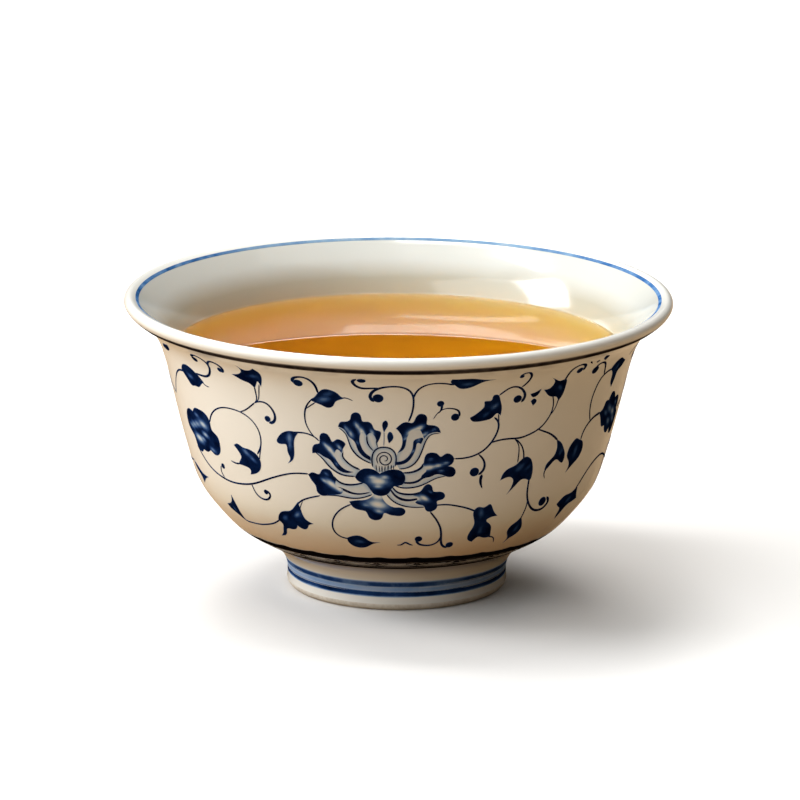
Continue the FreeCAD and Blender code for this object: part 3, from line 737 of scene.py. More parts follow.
# Vines: a route and its widths
VINES = [
    ([(-76, 31.5), (-72.5, 34.2), (-69, 36.2), (-66.2, 37), (-63.4, 37.2)], (0.2, 0.26, 0.36)),
    ([(-55, 36.7), (-53.4, 36.1), (-52.3, 36.1)], (0.2, 0.14)),
    ([(-56.8, 37.9), (-54, 37.9), (-51.4, 38.3), (-49.9, 39.4), (-49.4, 40.6), (-50.2, 41.9),
      (-51.8, 42.6), (-53.6, 42.4), (-54.5, 41.6)], (0.34, 0.4, 0.44, 0.5)),
    ([(-49.6, 40.2), (-48.6, 41.6), (-47, 42.1), (-45.2, 41.6), (-44.5, 40.6), (-45.2, 39.9)],
      (0.3, 0.44, 0.5)),
    ([(-35.9, 38.4), (-35.9, 37), (-36.2, 35.8), (-37, 35.2)], (0.24, 0.2, 0.16)),
    ([(-34.3, 39), (-34.9, 37.4), (-35.6, 36), (-36.6, 35.3)], (0.18, 0.14)),
    ([(-36.9, 35.3), (-38.6, 34.4), (-40.4, 33.6), (-42.4, 33)], (0.24, 0.2)),
    ([(-55.6, 29.4), (-54.2, 30.8), (-51.6, 32.2), (-48.4, 33), (-45.2, 33.2), (-42, 33), (-39.2, 32.2),
      (-37.3, 30.8), (-36.7, 29.2), (-37.2, 27.4), (-38.7, 25.9)], (0.3, 0.22, 0.2, 0.28)),
    ([(-36.7, 29.4), (-36.9, 28), (-37.6, 26.4), (-38.3, 24.9)], (0.16, 0.22, 0.16)),
    ([(-36.9, 35.3), (-35.3, 35.7), (-33.4, 35.6), (-31.9, 34.7), (-31.3, 33.4), (-32, 32.4),
      (-33.3, 32.1)], (0.2, 0.32, 0.5)),
    ([(-23.6, 23.8), (-27.5, 23.6), (-32, 22.8), (-37, 21.5), (-42, 20.2), (-47, 19.5), (-51, 19.3),
      (-56, 19.6), (-60.4, 20.4), (-64, 21.8), (-66.8, 23.6)], (0.24, 0.28, 0.3, 0.26)),
    ([(-42.9, 20.1), (-42.4, 19), (-41.2, 18), (-39.4, 17.6), (-37.6, 17.9), (-36.8, 18.7),
      (-37.6, 19.4)], (0.18, 0.3, 0.36)),
    ([(-54.4, 19.6), (-55.3, 20.7), (-54.8, 21.7)], (0.16, 0.24)),
    ([(-46, 23.3), (-47.6, 23.2), (-49.4, 23.4)], (0.34, 0.14)),
    ([(-21, 20), (-24, 19.4), (-27, 18.5), (-29, 17.3)], (0.24, 0.26, 0.3)),
    ([(-26.4, 18.6), (-27.4, 17.4), (-28.2, 16.2)], (0.12, 0.18)),
    ([(-36, 13.8), (-38.6, 12.8), (-42, 12), (-46, 11.4), (-50, 11.2), (-52.6, 11.3), (-54.4, 12.2)],
      (0.28, 0.3, 0.34)),
    ([(-18.9, 38.8), (-19.2, 40.2), (-20, 41.4), (-21.4, 42.2), (-23.2, 42.1), (-24.5, 41.3),
      (-24.5, 40.5)], (0.3, 0.46, 0.5)),
    ([(-20.2, 37.8), (-21.6, 36.8), (-22.6, 35.6), (-23, 34.2), (-22.8, 32.8), (-22, 31.6), (-20.8, 30.6),
      (-19.6, 30)], (0.2, 0.26, 0.18, 0.16)),
    ([(-19.8, 37), (-21.2, 36.3), (-22.5, 35.6)], (0.2, 0.14)),
    ([(-13, 38.3), (-11.8, 38.2), (-10.6, 37.8)], (0.2, 0.12)),
    ([(-20, 30.3), (-22, 31), (-24.6, 31.2), (-27, 31)], (0.18, 0.24, 0.28)),
    ([(2.6, 34.2), (3.4, 35.8), (3.7, 37.6), (3.4, 39.2), (2.2, 40.4), (0.2, 41), (-2, 41), (-4.4, 40.5),
      (-6, 39.6), (-6.4, 38.6), (-5.6, 37.8)], (0.26, 0.28, 0.36, 0.5)),
    ([(-4.2, 40.6), (-6.4, 40.5), (-8.4, 40.5), (-9.8, 41.2), (-10.1, 42.2), (-9.2, 43)],
      (0.3, 0.4, 0.46)),
    ([(3.5, 38.4), (4.4, 40), (6.2, 41.3), (8.6, 41.8), (11, 41.6), (12.8, 41.2)], (0.26, 0.28, 0.34)),
    ([(10.4, 37.4), (10.4, 36.4), (9.8, 35.6)], (0.4, 0.3, 0.12)),
    ([(8.6, 34.6), (9.6, 35.7), (11.2, 36.4), (13, 36.4), (14.6, 35.9), (15, 34.9)], (0.12, 0.16, 0.34)),
    ([(14.4, 27.3), (17, 27.3), (20, 27.7), (22.6, 28.7), (24.4, 30.2), (25.4, 32), (25.1, 33.4),
      (24, 34.2)], (0.22, 0.28, 0.3, 0.3)),
    ([(25.4, 31.8), (25.3, 33.4), (25, 34.8)], (0.14, 0.2)),
    ([(24.4, 38.2), (25.8, 39), (27.6, 39.6), (29.2, 39.4), (30.7, 38.6), (31.5, 37.4), (30.8, 36.4)],
      (0.24, 0.3, 0.48)),
    ([(30, 39.3), (31.2, 40.2), (31.6, 41.4), (31, 42.4), (29.8, 43), (28.8, 42.6), (28.6, 41.8)],
      (0.26, 0.36, 0.4)),
    ([(23.8, 29.7), (26, 29.95), (29, 30), (32, 29.9), (35, 30.3), (37.6, 31), (39.6, 32.2), (40.8, 33.8),
      (40.8, 35.2), (40, 36.7)], (0.26, 0.28, 0.24, 0.2)),
    ([(40.4, 33), (41.7, 34.2), (42.2, 35.8)], (0.14, 0.2)),
    ([(42.7, 39), (43.2, 40.6), (44.4, 42), (46, 42.3), (47.7, 41.6), (48, 40.5)], (0.3, 0.42, 0.5)),
    ([(20.8, 27.8), (22, 27), (22.8, 25.9), (22.6, 24.8), (21.4, 24)], (0.22, 0.34, 0.42)),
    ([(22.4, 24), (22.2, 22.9), (23, 21.4)], (0.5, 0.44, 0.14)),
    ([(30.4, 29.9), (31.8, 28.8), (32.4, 27.2), (32.5, 25.4)], (0.16, 0.2)),
    ([(31, 29.7), (32.8, 28.5), (34, 26.8), (34.3, 25.6)], (0.2, 0.26)),
    ([(37.3, 22), (37.4, 20.4), (37.8, 18.8), (39, 17.2), (40.8, 16), (43.2, 15.4), (45.6, 15.7),
      (46.6, 16.8), (45.6, 17.7)], (0.3, 0.36, 0.5)),
    ([(38.2, 18.4), (38.4, 17), (38.1, 15.4), (37.8, 14.2)], (0.2, 0.24)),
    ([(37, 31), (39.4, 30.3), (42.2, 29.4), (44.8, 28.1)], (0.2, 0.28, 0.34)),
    ([(43, 23.4), (42.3, 22.6), (42.9, 21.4)], (0.3, 0.14)),
    ([(54.8, 26.9), (55.2, 28.2), (56.6, 29.4), (58.6, 30.2), (62, 30.6)], (0.28, 0.36, 0.44)),
    ([(57.2, 30), (56.2, 31.6), (55.8, 33.6), (56.4, 35.6), (57.8, 37.4), (59.8, 38.2), (62.4, 38.4)],
      (0.24, 0.3, 0.36)),
    ([(58.6, 38), (57.6, 39.6), (55.9, 40.8), (54, 40.9), (52.8, 40.2)], (0.26, 0.36, 0.44)),
    ([(48.4, 42.6), (49.9, 41.7)], (0.36, 0.16)),
    ([(59.2, 17.3), (61.6, 19), (64.6, 20.6), (68, 21.5), (72, 21.7), (77, 20.8), (83, 19.4), (90, 18.6),
      (97, 18.9), (104, 19.5)], (0.36, 0.34, 0.3, 0.26)),
    ([(-12.4, 18.9), (-15.4, 17.8), (-17.4, 16.4), (-18.5, 14.6), (-18.2, 12.8), (-16.8, 11.8),
      (-14.6, 11.4)], (0.22, 0.28, 0.32)),
    ([(9, 17.7), (11, 16), (12.4, 14.2), (13, 12.4), (13.4, 10.9), (14.4, 9.6), (15.8, 9)],
      (0.26, 0.36, 0.46)),
    ([(13, 12.2), (12.4, 10.9), (10.8, 10.1), (8.6, 10), (6.8, 10.4), (5.7, 11.4)], (0.3, 0.4, 0.46)),
    ([(0, 10.2), (1.4, 10.3), (2.6, 10.9), (3.6, 10.5), (4.9, 10.1)], (0.18, 0.4, 0.24)),
    ([(10.4, 18.9), (13.4, 18.9), (16.6, 18.5), (19.6, 17.9), (22, 17.2)], (0.22, 0.26, 0.3)),
    ([(28.8, 11), (30.6, 10.6), (31.9, 9.1)], (0.3, 0.14)),
    # between the right flower and the next round flower
    ([(76.6, 29.4), (81, 30.6), (85, 32.6), (90, 34), (95, 33.8), (100, 32.4), (104.2, 31.4)],
      (0.34, 0.28, 0.22)),
    ([(81.6, 31), (81.6, 34), (82.2, 36.6), (84.2, 38.6)], (0.24, 0.3)),
    ([(90, 34), (93.4, 35.2), (94.6, 37.4), (93.2, 39.2), (91.4, 38.4)], (0.2, 0.34, 0.44)),
    ([(94, 33.9), (93.6, 31.6), (91.8, 29.6), (89, 28.2), (87, 26)], (0.24, 0.3)),
    ([(78, 20.6), (79, 17), (80.6, 14), (83.2, 12.8)], (0.24, 0.3)),
    ([(90, 18.6), (94, 17.2), (96.2, 14.8), (95, 12.6), (93, 13.2)], (0.22, 0.34, 0.44)),
    ([(80, 20), (81, 22.4), (83.4, 23), (84.2, 21.6)], (0.2, 0.3, 0.36)),
    ([(72, 39.4), (75, 40.6), (78, 40.4), (79.6, 38.8), (78, 37.6)], (0.24, 0.34, 0.44)),
]
# Round ends of the curls: place and radius
DOTS = [
    (-53.9, 41.3, 0.62), (-45.6, 40.4, 0.5), (-33.6, 32.8, 0.55), (-38.1, 19.1, 0.45), (-53.8, 21.8, 0.5),
    (-23.4, 40.6, 0.75), (-4.6, 38.5, 0.8), (-8.1, 42.5, 0.62), (10.1, 37.4, 0.55), (13.9, 34.8, 0.65),
    (29.6, 37.1, 0.7), (28.9, 41.9, 0.4), (46.6, 40.7, 0.62), (20.2, 24.6, 0.8), (44.2, 17, 0.85),
    (53.2, 39.7, 0.75), (51.9, 41.9, 0.35), (16.4, 9.8, 0.75), (6.4, 11.8, 0.7), (92.4, 38.9, 0.6),
    (93.6, 13.5, 0.6), (83.2, 22, 0.5), (78.4, 38.3, 0.6),
]


# ---------------------------------------------------------------- materials

def new_material(name, roughness):
    """A material, its nodes and its shader."""
    made = bpy.data.materials.new(name)
    made.use_nodes = True
    shader = made.node_tree.nodes["Principled BSDF"]
    shader.inputs["Roughness"].default_value = roughness
    return made, made.node_tree, shader


def add(tree, kind, settings, *links):
    """A node with its settings and sockets filled in, and its inputs linked as (socket, output)."""
    made = tree.nodes.new(kind)
    for name, value in settings.items():
        if name in made.inputs:
            made.inputs[name].default_value = value
        else:
            setattr(made, name, value)
    for socket, output in links:
        tree.links.new(output, made.inputs[socket])
    return made


def noise(tree, place, scale, detail=3.0, roughness=0.5):
    """Smooth random values from 0 to 1, with so many blotches in a metre."""
    made = add(tree, "ShaderNodeTexNoise", {"Scale": scale, "Detail": detail, "Roughness": roughness},
               ("Vector", place))
    return made.outputs["Fac"]


def spread(tree, value, low, high, to_low, to_high):
    """A value eased from one range to another, and held at its ends."""
    made = add(tree, "ShaderNodeMapRange", {"interpolation_type": "SMOOTHSTEP"}, ("Value", value))
    for socket, number in zip(("From Min", "From Max", "To Min", "To Max"), (low, high, to_low, to_high)):
        made.inputs[socket].default_value = number
    return made.outputs["Result"]


def uneven(tree, place, scale, low, high, detail=3.0, roughness=0.5):
    """Noise spread from low to high."""
    return spread(tree, noise(tree, place, scale, detail, roughness), *NOISE_RANGE, low, high)


def combine(tree, operation, first, second):
    """Two values put together, the second of which may be a number."""
    made = add(tree, "ShaderNodeMath", {"operation": operation}, (0, first))
    if isinstance(second, (int, float)):
        made.inputs[1].default_value = second
    else:
        tree.links.new(second, made.inputs[1])
    return made.outputs["Value"]


def ramp(tree, value, stops):
    """Colours at positions from 0 to 1."""
    made = add(tree, "ShaderNodeValToRGB", {}, ("Fac", value))
    elements = made.color_ramp.elements
    while len(elements) < len(stops):
        elements.new(0.5)
    for element, (position, colour) in zip(elements, stops):
        element.position = position
        element.color = (*colour, 1)
    return made.outputs["Color"]


def roughen(tree, shader, height, strength, distance):
    """A surface that swells with a height."""
    bump = add(tree, "ShaderNodeBump", {"Strength": strength, "Distance": distance}, ("Height", height))
    tree.links.new(bump.outputs["Normal"], shader.inputs["Normal"])


def object_place(tree):
    return tree.nodes.new("ShaderNodeTexCoord").outputs["Object"]


def along_axis(tree, place, axis):
    return add(tree, "ShaderNodeSeparateXYZ", {}, ("Vector", place)).outputs[axis]


def glaze_material(name, low, high, stops, drift=0.16):
    """Glossy porcelain whose colour changes with height, from low to high, and is faintly mottled."""
    made, tree, shader = new_material(name, 0.12)
    place = object_place(tree)
    height = spread(tree, along_axis(tree, place, "Z"), low * MM, high * MM, 0.0, 1.0)
    mottle = combine(tree, "MULTIPLY", combine(tree, "SUBTRACT", noise(tree, place, 95.0), 0.5), drift)
    colour = ramp(tree, combine(tree, "ADD", height, mottle), stops)
    tree.links.new(colour, shader.inputs["Base Color"])
    gloss = uneven(tree, place, 160.0, 0.09, 0.17)
    tree.links.new(gloss, shader.inputs["Roughness"])
    grain = combine(tree, "MULTIPLY", noise(tree, place, 900.0), 0.05)
    swells = combine(tree, "ADD", noise(tree, place, 130.0, 2.0), grain)
    roughen(tree, shader, swells, 0.09, 0.0004)
    shader.inputs["Coat Weight"].default_value = 0.35
    shader.inputs["Coat Roughness"].default_value = 0.04
    shader.inputs["IOR"].default_value = 1.5
    return made


def laid_on(tree, place):
    """The pigment that a painted mesh carries."""
    return add(tree, "ShaderNodeAttribute", {"attribute_name": "pigment"}).outputs["Fac"]


def painted_highlight_front_and_back(tree, place):
    """The pigment of the line round the rim, thinned at the front and back as a painted highlight."""
    aside = combine(tree, "ABSOLUTE", along_axis(tree, place, "X"), 0.0)
    return spread(tree, aside, 0.35 * RIM_RADIUS * MM, 0.92 * RIM_RADIUS * MM, 0.5, 0.95)


def pigment_material(name, pigment, stops, grain):
    """Underglaze colour that is darker where there is more pigment, with brushed unevenness."""
    made, tree, shader = new_material(name, 0.16)
    place = object_place(tree)
    fine = uneven(tree, place, 420.0, 1 - grain, 1 + grain * 0.4, 4.0, 0.6)
    broad = uneven(tree, place, 120.0, 1 - grain * 0.5, 1.0)
    amount = combine(tree, "MULTIPLY", combine(tree, "MULTIPLY", fine, broad), pigment(tree, place))
    tree.links.new(ramp(tree, amount, stops), shader.inputs["Base Color"])
    roughen(tree, shader, noise(tree, place, 700.0), 0.1, 0.0002)
    shader.inputs["Specular IOR Level"].default_value = 0.0
    return made


def biscuit_material():
    """Unglazed clay, matt and a little sandy."""
    made, tree, shader = new_material("biscuit", 0.75)
    place = object_place(tree)
    both = combine(tree, "ADD", noise(tree, place, 300.0), noise(tree, place, 1500.0))
    speckle = combine(tree, "MULTIPLY", both, 0.5)
    tree.links.new(ramp(tree, speckle, CLAY), shader.inputs["Base Color"])
    roughen(tree, shader, noise(tree, place, 2200.0, 5.0, 0.7), 0.5, 0.0002)
    return made


def tea_material():
    """Clear amber liquid: it takes its colour from its depth."""
    made, tree, shader = new_material("tea", 0.0)
    shader.inputs["Transmission Weight"].default_value = 1.0
    shader.inputs["IOR"].default_value = 1.3
    place = object_place(tree)
    tree.links.new(ramp(tree, noise(tree, place, 60.0), AMBER), shader.inputs["Base Color"])
    roughen(tree, shader, noise(tree, place, 45.0, 1.0), 0.05, 0.0004)
    depth = tree.nodes.new("ShaderNodeVolumeAbsorption")
    depth.inputs["Color"].default_value = (0.988, 0.928, 0.08, 1)
    depth.inputs["Density"].default_value = 180.0
    output = tree.nodes["Material Output"]
    tree.links.new(depth.outputs["Volume"], output.inputs["Volume"])
    return made


# Colours of the glaze from its lowest place at 0 to its highest at 1: outside, inside, lip and foot
# the outside's glaze is painted darker and warmer towards the foot: painted shade and warm bounce light on
# the lower belly
CREAM = [
    (0, (0.66, 0.46, 0.28)), (0.14, (0.74, 0.62, 0.47)), (0.3, (0.79, 0.75, 0.64)),
    (0.6, (0.83, 0.8, 0.72)), (1, (0.85, 0.83, 0.76)),
]
# inside, the glaze is light under the tea and painted darker in a band between the tea and the rim: painted
# shade
IVORY = [
    (0, (0.94, 0.87, 0.74)), (0.8, (0.93, 0.87, 0.7)), (0.83, (0.6, 0.56, 0.42)),
    (0.91, (0.53, 0.51, 0.405)), (0.98, (0.66, 0.67, 0.62)),
]
LIP_WHITE = [(0, (0.8, 0.78, 0.7)), (1, (0.86, 0.85, 0.8))]
# the foot's glaze is painted darker and browner towards its top: painted shade under the belly
FOOT_CREAM = [(0, (0.82, 0.81, 0.76)), (0.5, (0.74, 0.69, 0.6)), (1, (0.36, 0.29, 0.22))]
# Colours of pigment from none to the most
NAVY = [
    (0, (0.76, 0.72, 0.64)), (0.15, (0.47, 0.54, 0.6)), (0.35, (0.13, 0.21, 0.36)),
    (0.6, (0.025, 0.065, 0.19)), (0.85, (0.003, 0.012, 0.055)), (1, (0.001, 0.004, 0.022)),
]
LINE_BLUE = [
    (0, (0.7, 0.7, 0.68)), (0.4, (0.22, 0.35, 0.58)), (0.75, (0.012, 0.045, 0.16)),
    (1, (0.001, 0.01, 0.045)),
]
RIM_BLUE = [
    (0, (0.6, 0.62, 0.6)), (0.4, (0.22, 0.36, 0.52)), (0.8, (0.05, 0.15, 0.36)), (1, (0.02, 0.08, 0.22)),
]
SOOT = [
    (0, (0.55, 0.5, 0.43)), (0.4, (0.13, 0.11, 0.1)), (0.75, (0.014, 0.011, 0.012)),
    (1, (0.004, 0.003, 0.004)),
]
# Colours of the bare clay and of the tea, by the strength of their noise
CLAY = [(0.3, (0.58, 0.51, 0.42)), (0.55, (0.72, 0.67, 0.58)), (0.75, (0.78, 0.74, 0.66))]
AMBER = [(0.3, (1, 0.97, 0.68)), (0.7, (1, 0.99, 0.74))]

outer_cream = glaze_material("outer_cream", 9.0, 34.0, CREAM)
foot_cream = glaze_material("foot_cream", 3.0, 9.5, FOOT_CREAM)
inner_ivory = glaze_material("inner_ivory", 20.0, 48.0, IVORY, 0.03)
lip_white = glaze_material("lip_white", 46.0, 49.0, LIP_WHITE)
cobalt = pigment_material("cobalt", laid_on, NAVY, 0.14)
line_blue = pigment_material("line_blue", laid_on, LINE_BLUE, 0.1)
# the line inside the lip is paler at the front and back: painted highlight
rim_blue = pigment_material("rim_blue", painted_highlight_front_and_back, RIM_BLUE, 0.3)
soot = pigment_material("soot", laid_on, SOOT, 0.12)
biscuit = biscuit_material()
tea_amber = tea_material()


# ---------------------------------------------------------------- bowl, foot and tea

def set_in(piece, slot, *nodes):
    """A finished piece joins the root body and takes the place of its CAD nodes, which it hides; its slot is
    not used.
    """
    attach(piece, "root")
    if nodes:
        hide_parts(*nodes)


def underside():
    """The glazed surface inside the foot ring, from the axis out and down the bore."""
    bore, fillet = FOOT_BORE_RADIUS, RECESS_FILLET      # the ceiling and the bore end just short of it
    corner = [(bore - fillet + fillet * math.sin(turn), RECESS_HEIGHT - fillet + fillet * math.cos(turn))
              for turn in np.radians(np.arange(0, 91, 15))]
    ceiling = [(radius, RECESS_HEIGHT) for radius in np.linspace(0, bore - (fillet + 0.4), CEILING_RINGS)]
    bore_levels = np.linspace(RECESS_HEIGHT - (fillet + 0.3), RIM_ROUND_IN, BORE_RINGS)
    return np.array(ceiling + corner + [(bore, height) for height in bore_levels])


def bare_rim():
    """The unglazed rim the bowl stands on, as a closed section."""
    out, back = RIM_ROUND_OUT, RIM_ROUND_IN
    outer = [(FOOT_RADIUS - out + out * math.cos(turn), out - out * math.sin(turn))
             for turn in np.radians(np.arange(90, 0, -10))]
    inner = [(FOOT_BORE_RADIUS + back - back * math.cos(turn), back - back * math.sin(turn))
             for turn in np.radians(np.arange(10, 91, 10))]
    top = [(FOOT_RADIUS, out), (FOOT_RADIUS - COAT, BARE_RIM_TOP),
           (FOOT_BORE_RADIUS + COAT, BARE_RIM_TOP), (FOOT_BORE_RADIUS, back)]
    return np.array(outer + top + inner)


def body_section():
    """The fired clay between the coats, from the axis under the floor out, up and back in."""
    under = set_back(underside(), COAT)[:-BORE_RINGS]
    outside = set_back(stretch(OUTSIDE, BARE_RIM_TOP, CLAY_TOP, CLAY_SPACING), COAT)
    inside = set_back(stretch(INSIDE, CLAY_TOP, FLOOR_HEIGHT + CLAY_NEAR, CLAY_SPACING), COAT)
    under[0, 0] = inside[-1, 0] = 0.0
    return np.concatenate([under, outside, inside])


def tea_section():
    """The tea, up to a meniscus drawn up the wall."""
    wall = stretch(INSIDE, TEA_LEVEL + TEA_EDGE, FLOOR_HEIGHT + NEAR, TEA_SPACING)
    wall = set_back(wall, TEA_LET_IN)[::-1]
    wall[0, 0] = 0.0
    edge = wall[-1, 0]
    # its rings, by their distance from the wall, are closest together where the surface is steep
    steep, gentle, level = np.arange(0.06, 0.6, 0.06), np.arange(0.7, 3.0, 0.2), np.arange(3.5, edge, 1.5)
    away = np.concatenate([steep, gentle, level, [edge]])
    rise = sum(climb * np.exp(-away / reach) for climb, reach in MENISCUS)
    return np.concatenate([wall, np.stack([edge - away, TEA_LEVEL + rise], axis=1)])


def lip_surface():
    """Over the lip, from the dark line outside to the thin one inside."""
    outside = stretch(OUTSIDE, LIP_SEAM, HEIGHT - NEAR, LIP_SPACING)
    return np.concatenate([outside, stretch(INSIDE, HEIGHT - NEAR, INNER_SEAM, LIP_SPACING)[1:]])


def inside_surface():
    """From the thin line down to the middle of the floor."""
    wall = stretch(INSIDE, INNER_SEAM, FLOOR_HEIGHT + NEAR)
    wall[-1, 0] = 0.0
    return wall


def inner_line_surface():
    """The thin line inside the lip, which stands out of the glaze."""
    top, bottom = INNER_LINE_END + 0.3, INNER_LINE_END - 0.06
    return set_back(stretch(INSIDE, top, bottom, 0.1), -LINE_RELIEF)


set_in(turned("bowl_biscuit", body_section(), biscuit), "biscuit", "bowl_body")
set_in(turned("foot_rim", bare_rim(), biscuit), "biscuit", "foot_ring")
set_in(coat("underside_glaze", underside(), inner_ivory), "clear_glaze", "base_glaze")
set_in(coat("foot_glaze", stretch(OUTSIDE, BARE_RIM_HEIGHT, GLAZE_SEAM), foot_cream), "clear_glaze",
       "foot_glaze_lower", "foot_glaze_upper")
set_in(coat("wall_glaze", stretch(OUTSIDE, GLAZE_SEAM, LIP_SEAM), outer_cream), "clear_glaze", "outer_glaze")
set_in(coat("lip_coat", lip_surface(), lip_white), "clear_glaze", "lip_glaze")
set_in(coat("inside_glaze", inside_surface(), inner_ivory), "clear_glaze", "inner_glaze")
set_in(turned("tea_liquid", tea_section(), tea_amber), "tea", "tea")
set_in(coat("inner_line", inner_line_surface(), rim_blue), "cobalt", "inner_rim_line")


# ---------------------------------------------------------------- painted lines

def line_piece(name, start, end, tone, material, slot, node, seed):
    """A painted line between two heights that replaces its CAD node."""
    low, high = wall_length(start), wall_length(end)
    painting = Painting()
    painting.ring((low + high) / 2, LINE_WOBBLE, (high - low) * LINE_SPREAD, tone, seed)
    set_in(painting.piece(name, material), slot, node)


# Scalloped doodles in the border, as half of a route from its end to its middle, widths, tone and height
SCALLOPS = [
    ([(7.2, 0.75), (5.6, 0), (3, -0.35), (0, -0.4)], (0.16, 0.3, 0.16), 1.05, PAINT_HEIGHT),
    ([(6.4, 0.7), (4, 0.05), (0, -0.08)], (0.12, 0.22, 0.12), 0.12, SCRATCH_HEIGHT),
    ([(7.4, -0.2), (5, -0.62), (0, -0.74)], (0.1, 0.2, 0.1), 0.16, SCRATCH_HEIGHT),
    ([(3.4, 0.62), (1.6, 0.36), (0, 0.3)], (0.1, 0.16, 0.1), 0.16, SCRATCH_HEIGHT),
]
SCALLOP_SPACING = 15        # degrees


def paint_border():
    """A dark band between two wandering lines, with scalloped doodles on it. Its near-black wash is partly
    the border's own pigment and partly painted shade of the underside.
    """
    border = Painting()
    low, high = wall_length(BORDER_START), wall_length(BORDER_END)
    middle = (low + high) / 2 - 0.1
    # a near-black wash over the band: partly the border's pigment, partly painted shade of the underside
    border.ring(middle, 0.03, high - low - 0.3, 1.0, 7, WASH_LEVEL)
    border.ring(low + 0.45, 0.07, 1.0, 1.5, 5)
    border.ring(high - 0.7, 0.09, 1.8, 2.4, 6, PAINT_HEIGHT, 0.3)
    for turn in range(0, 360, SCALLOP_SPACING):
        for half, widths, tone, height in SCALLOPS:
            left = [(turn - aside, middle + up) for aside, up in half]
            right = [(turn + aside, middle + up) for aside, up in half[-2::-1]]
            border.stroke(left + right, widths, tone, height)
    set_in(border.piece("border", soot), "dark_border", "border_band")


line_piece("foot_blue_lower", LINE_LOWER_START, WASH_START, 1.0, line_blue, "cobalt", "foot_line_lower", 1)
line_piece("foot_wash", WASH_START - WASH_OVERLAP, WASH_END + WASH_OVERLAP, 0.42, line_blue,
           "cobalt_wash", "foot_wash_band", 2)
line_piece("foot_blue_upper", WASH_END, LINE_UPPER_END, 0.85, line_blue, "cobalt", "foot_line_upper", 3)
line_piece("rim_dark_line", RIM_LINE_START, RIM_LINE_END, 0.85, soot, "dark_border", "outer_rim_line", 4)
paint_border()


# ---------------------------------------------------------------- painted flowers and vines

def azimuth_of(shape):
    """The mean direction of a shape's points."""
    return sum(point[0] for point in shape) / len(shape)


def turned_by(shape, turn):
    """A shape moved round the bowl."""
    return [(point[0] + turn, *point[1:]) for point in shape]


def paint_half(half, turn):
    """One repeat of the pattern, in nine pieces."""
    groups = {}

    def group(kind, azimuth):
        side = "left" if azimuth < LEFT_END else "middle" if azimuth < RIGHT_START else "right"
        return groups.setdefault(f"{kind}_{side}", Painting())

    for outline in FLOWER_WASHES:
        group("flower", 0).fill(turned_by(outline, turn), (), 0.24, WASH_LEVEL, 0.3)
    for outline, lights in FLOWER_FILLS:
        group("flower", 0).fill(turned_by(outline, turn), turned_by(lights, turn))
    for route, *manner in FLOWER_STROKES:
        group("flower", 0).stroke(turned_by(route, turn), *manner)
    group("flower", -60).fill(turned_by(ROUND_LEFT, turn), turned_by(ROUND_LEFT_LIGHTS, turn))
    group("flower", 60).fill(turned_by(ROUND_RIGHT, turn), turned_by(ROUND_RIGHT_LIGHTS, turn))
    for outline, lights in LEAVES:
        group("leaves", azimuth_of(outline)).fill(turned_by(outline, turn), turned_by(lights, turn))
    for route, widths in VINES:
        group("vines", azimuth_of(route)).stroke(turned_by(route, turn), widths)
    for azimuth, up, radius in DOTS:
        group("vines", azimuth).dot(azimuth + turn, up, radius)
    for name, painting in groups.items():
        set_in(painting.piece(f"{half}_{name}", cobalt), "cobalt")


for half, turn in REPEATS.items():
    paint_half(half, turn)


# ---------------------------------------------------------------- floor, light and camera

def floor():
    """A pale floor, whose bounce onto the cup is dim and warm like a table's."""
    made, tree, shader = new_material("floor", 0.7)
    shade = uneven(tree, object_place(tree), 4.0, 0.0, 1.0)
    colour = ramp(tree, shade, [(0, (0.9, 0.895, 0.885)), (1, (0.94, 0.935, 0.925))])
    tree.links.new(colour, shader.inputs["Base Color"])
    shader.inputs["Specular IOR Level"].default_value = 0.1
    table = add(tree, "ShaderNodeBsdfDiffuse", {"Color": (0.38, 0.27, 0.165, 1)})
    show_to_camera(tree, table.outputs[0], shader.outputs[0], tree.nodes["Material Output"])
    mesh = bpy.data.meshes.new("floor")
    corners = [(-1, -1), (1, -1), (1, 1), (-1, 1)]
    mesh.from_pydata([(FLOOR_REACH * x, FLOOR_REACH * y, 0) for x, y in corners], [], [(0, 1, 2, 3)])
    link("floor", mesh, made)


def show_to_camera(tree, lighting, seen, output):
    """One shader lights the scene and another is what shows."""
    path = tree.nodes.new("ShaderNodeLightPath")
    both = add(tree, "ShaderNodeMixShader", {}, (0, path.outputs["Is Camera Ray"]), (1, lighting), (2, seen))
    tree.links.new(both.outputs[0], output.inputs["Surface"])


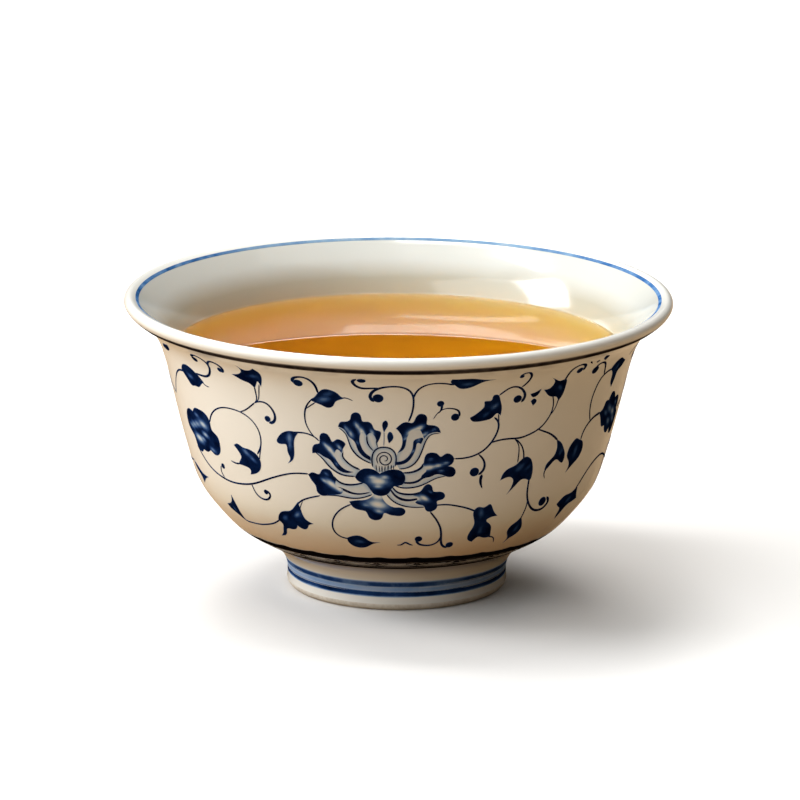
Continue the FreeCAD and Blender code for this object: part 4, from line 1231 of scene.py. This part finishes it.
def lamp(name, azimuth, elevation, distance, width, height, power, colour):
    """A soft light that faces the cup from a direction."""
    data = bpy.data.lights.new(name, "AREA")
    data.shape = "RECTANGLE"
    data.size = width
    data.size_y = height
    data.energy = power
    data.color = colour
    made = bpy.data.objects.new(name, data)
    turn, rise = math.radians(azimuth), math.radians(elevation)
    level = math.cos(rise)
    place = Vector((math.sin(turn) * level, -math.cos(turn) * level, math.sin(rise))) * distance
    made.location = place + Vector((0, 0, LAMP_AIM))
    made.rotation_euler = place.to_track_quat("Z", "Y").to_euler()
    made.visible_camera = False
    bpy.context.scene.collection.objects.link(made)


def surroundings():
    """Soft light from above that fades to a dim room at the horizon, behind a plain pale backdrop."""
    world = bpy.data.worlds.new("surroundings")
    world.use_nodes = True
    tree = world.node_tree
    direction = tree.nodes.new("ShaderNodeTexCoord").outputs["Generated"]
    strength = spread(tree, along_axis(tree, direction, "Z"), 0.3, 0.95, ROOM, OVERHEAD)
    lit = add(tree, "ShaderNodeBackground", {"Color": (0.98, 0.97, 0.95, 1)}, ("Strength", strength))
    seen = add(tree, "ShaderNodeBackground", {"Color": (1, 1, 1, 1), "Strength": 1.0})
    show_to_camera(tree, lit.outputs[0], seen.outputs[0], tree.nodes["World Output"])
    bpy.context.scene.world = world


def camera():
    """A long lens that looks a little down at the front of the cup."""
    data = bpy.data.cameras.new("camera")
    data.sensor_width = SENSOR_WIDTH
    data.lens = LENS
    made = bpy.data.objects.new("camera", data)
    rise = math.radians(CAMERA_ELEVATION)
    back = Vector((0, -math.cos(rise), math.sin(rise)))
    made.location = Vector(CAMERA_AIM) * MM + back * CAMERA_DISTANCE
    roll = Quaternion((0, 0, 1), math.radians(CAMERA_ROLL))
    made.rotation_mode = "QUATERNION"
    made.rotation_quaternion = back.to_track_quat("Z", "Y") @ roll
    bpy.context.scene.collection.objects.link(made)
    bpy.context.scene.camera = made


floor()
surroundings()
lamp("key", -90, 32, 1.1, 0.5, 0.5, 8.0, (0.98, 0.985, 1.0))
lamp("front", -50, 22, 1.5, 1.4, 1.4, 13.5, (0.94, 0.98, 1.0))
lamp("top", -20, 84, 1.3, 1.5, 1.5, 4.6, (1.0, 0.98, 0.95))
lamp("strip", -108, 71, 1.0, 0.14, 0.7, 3.1, (1.0, 0.99, 0.97))
lamp("fill", 110, 56, 1.4, 0.8, 0.8, 0.3, (1.0, 0.78, 0.52))
lamp("back", 187, 51, 1.4, 0.5, 1.1, 12.0, (1.0, 0.99, 0.97))
camera()
bpy.context.scene.view_settings.view_transform = "Standard"
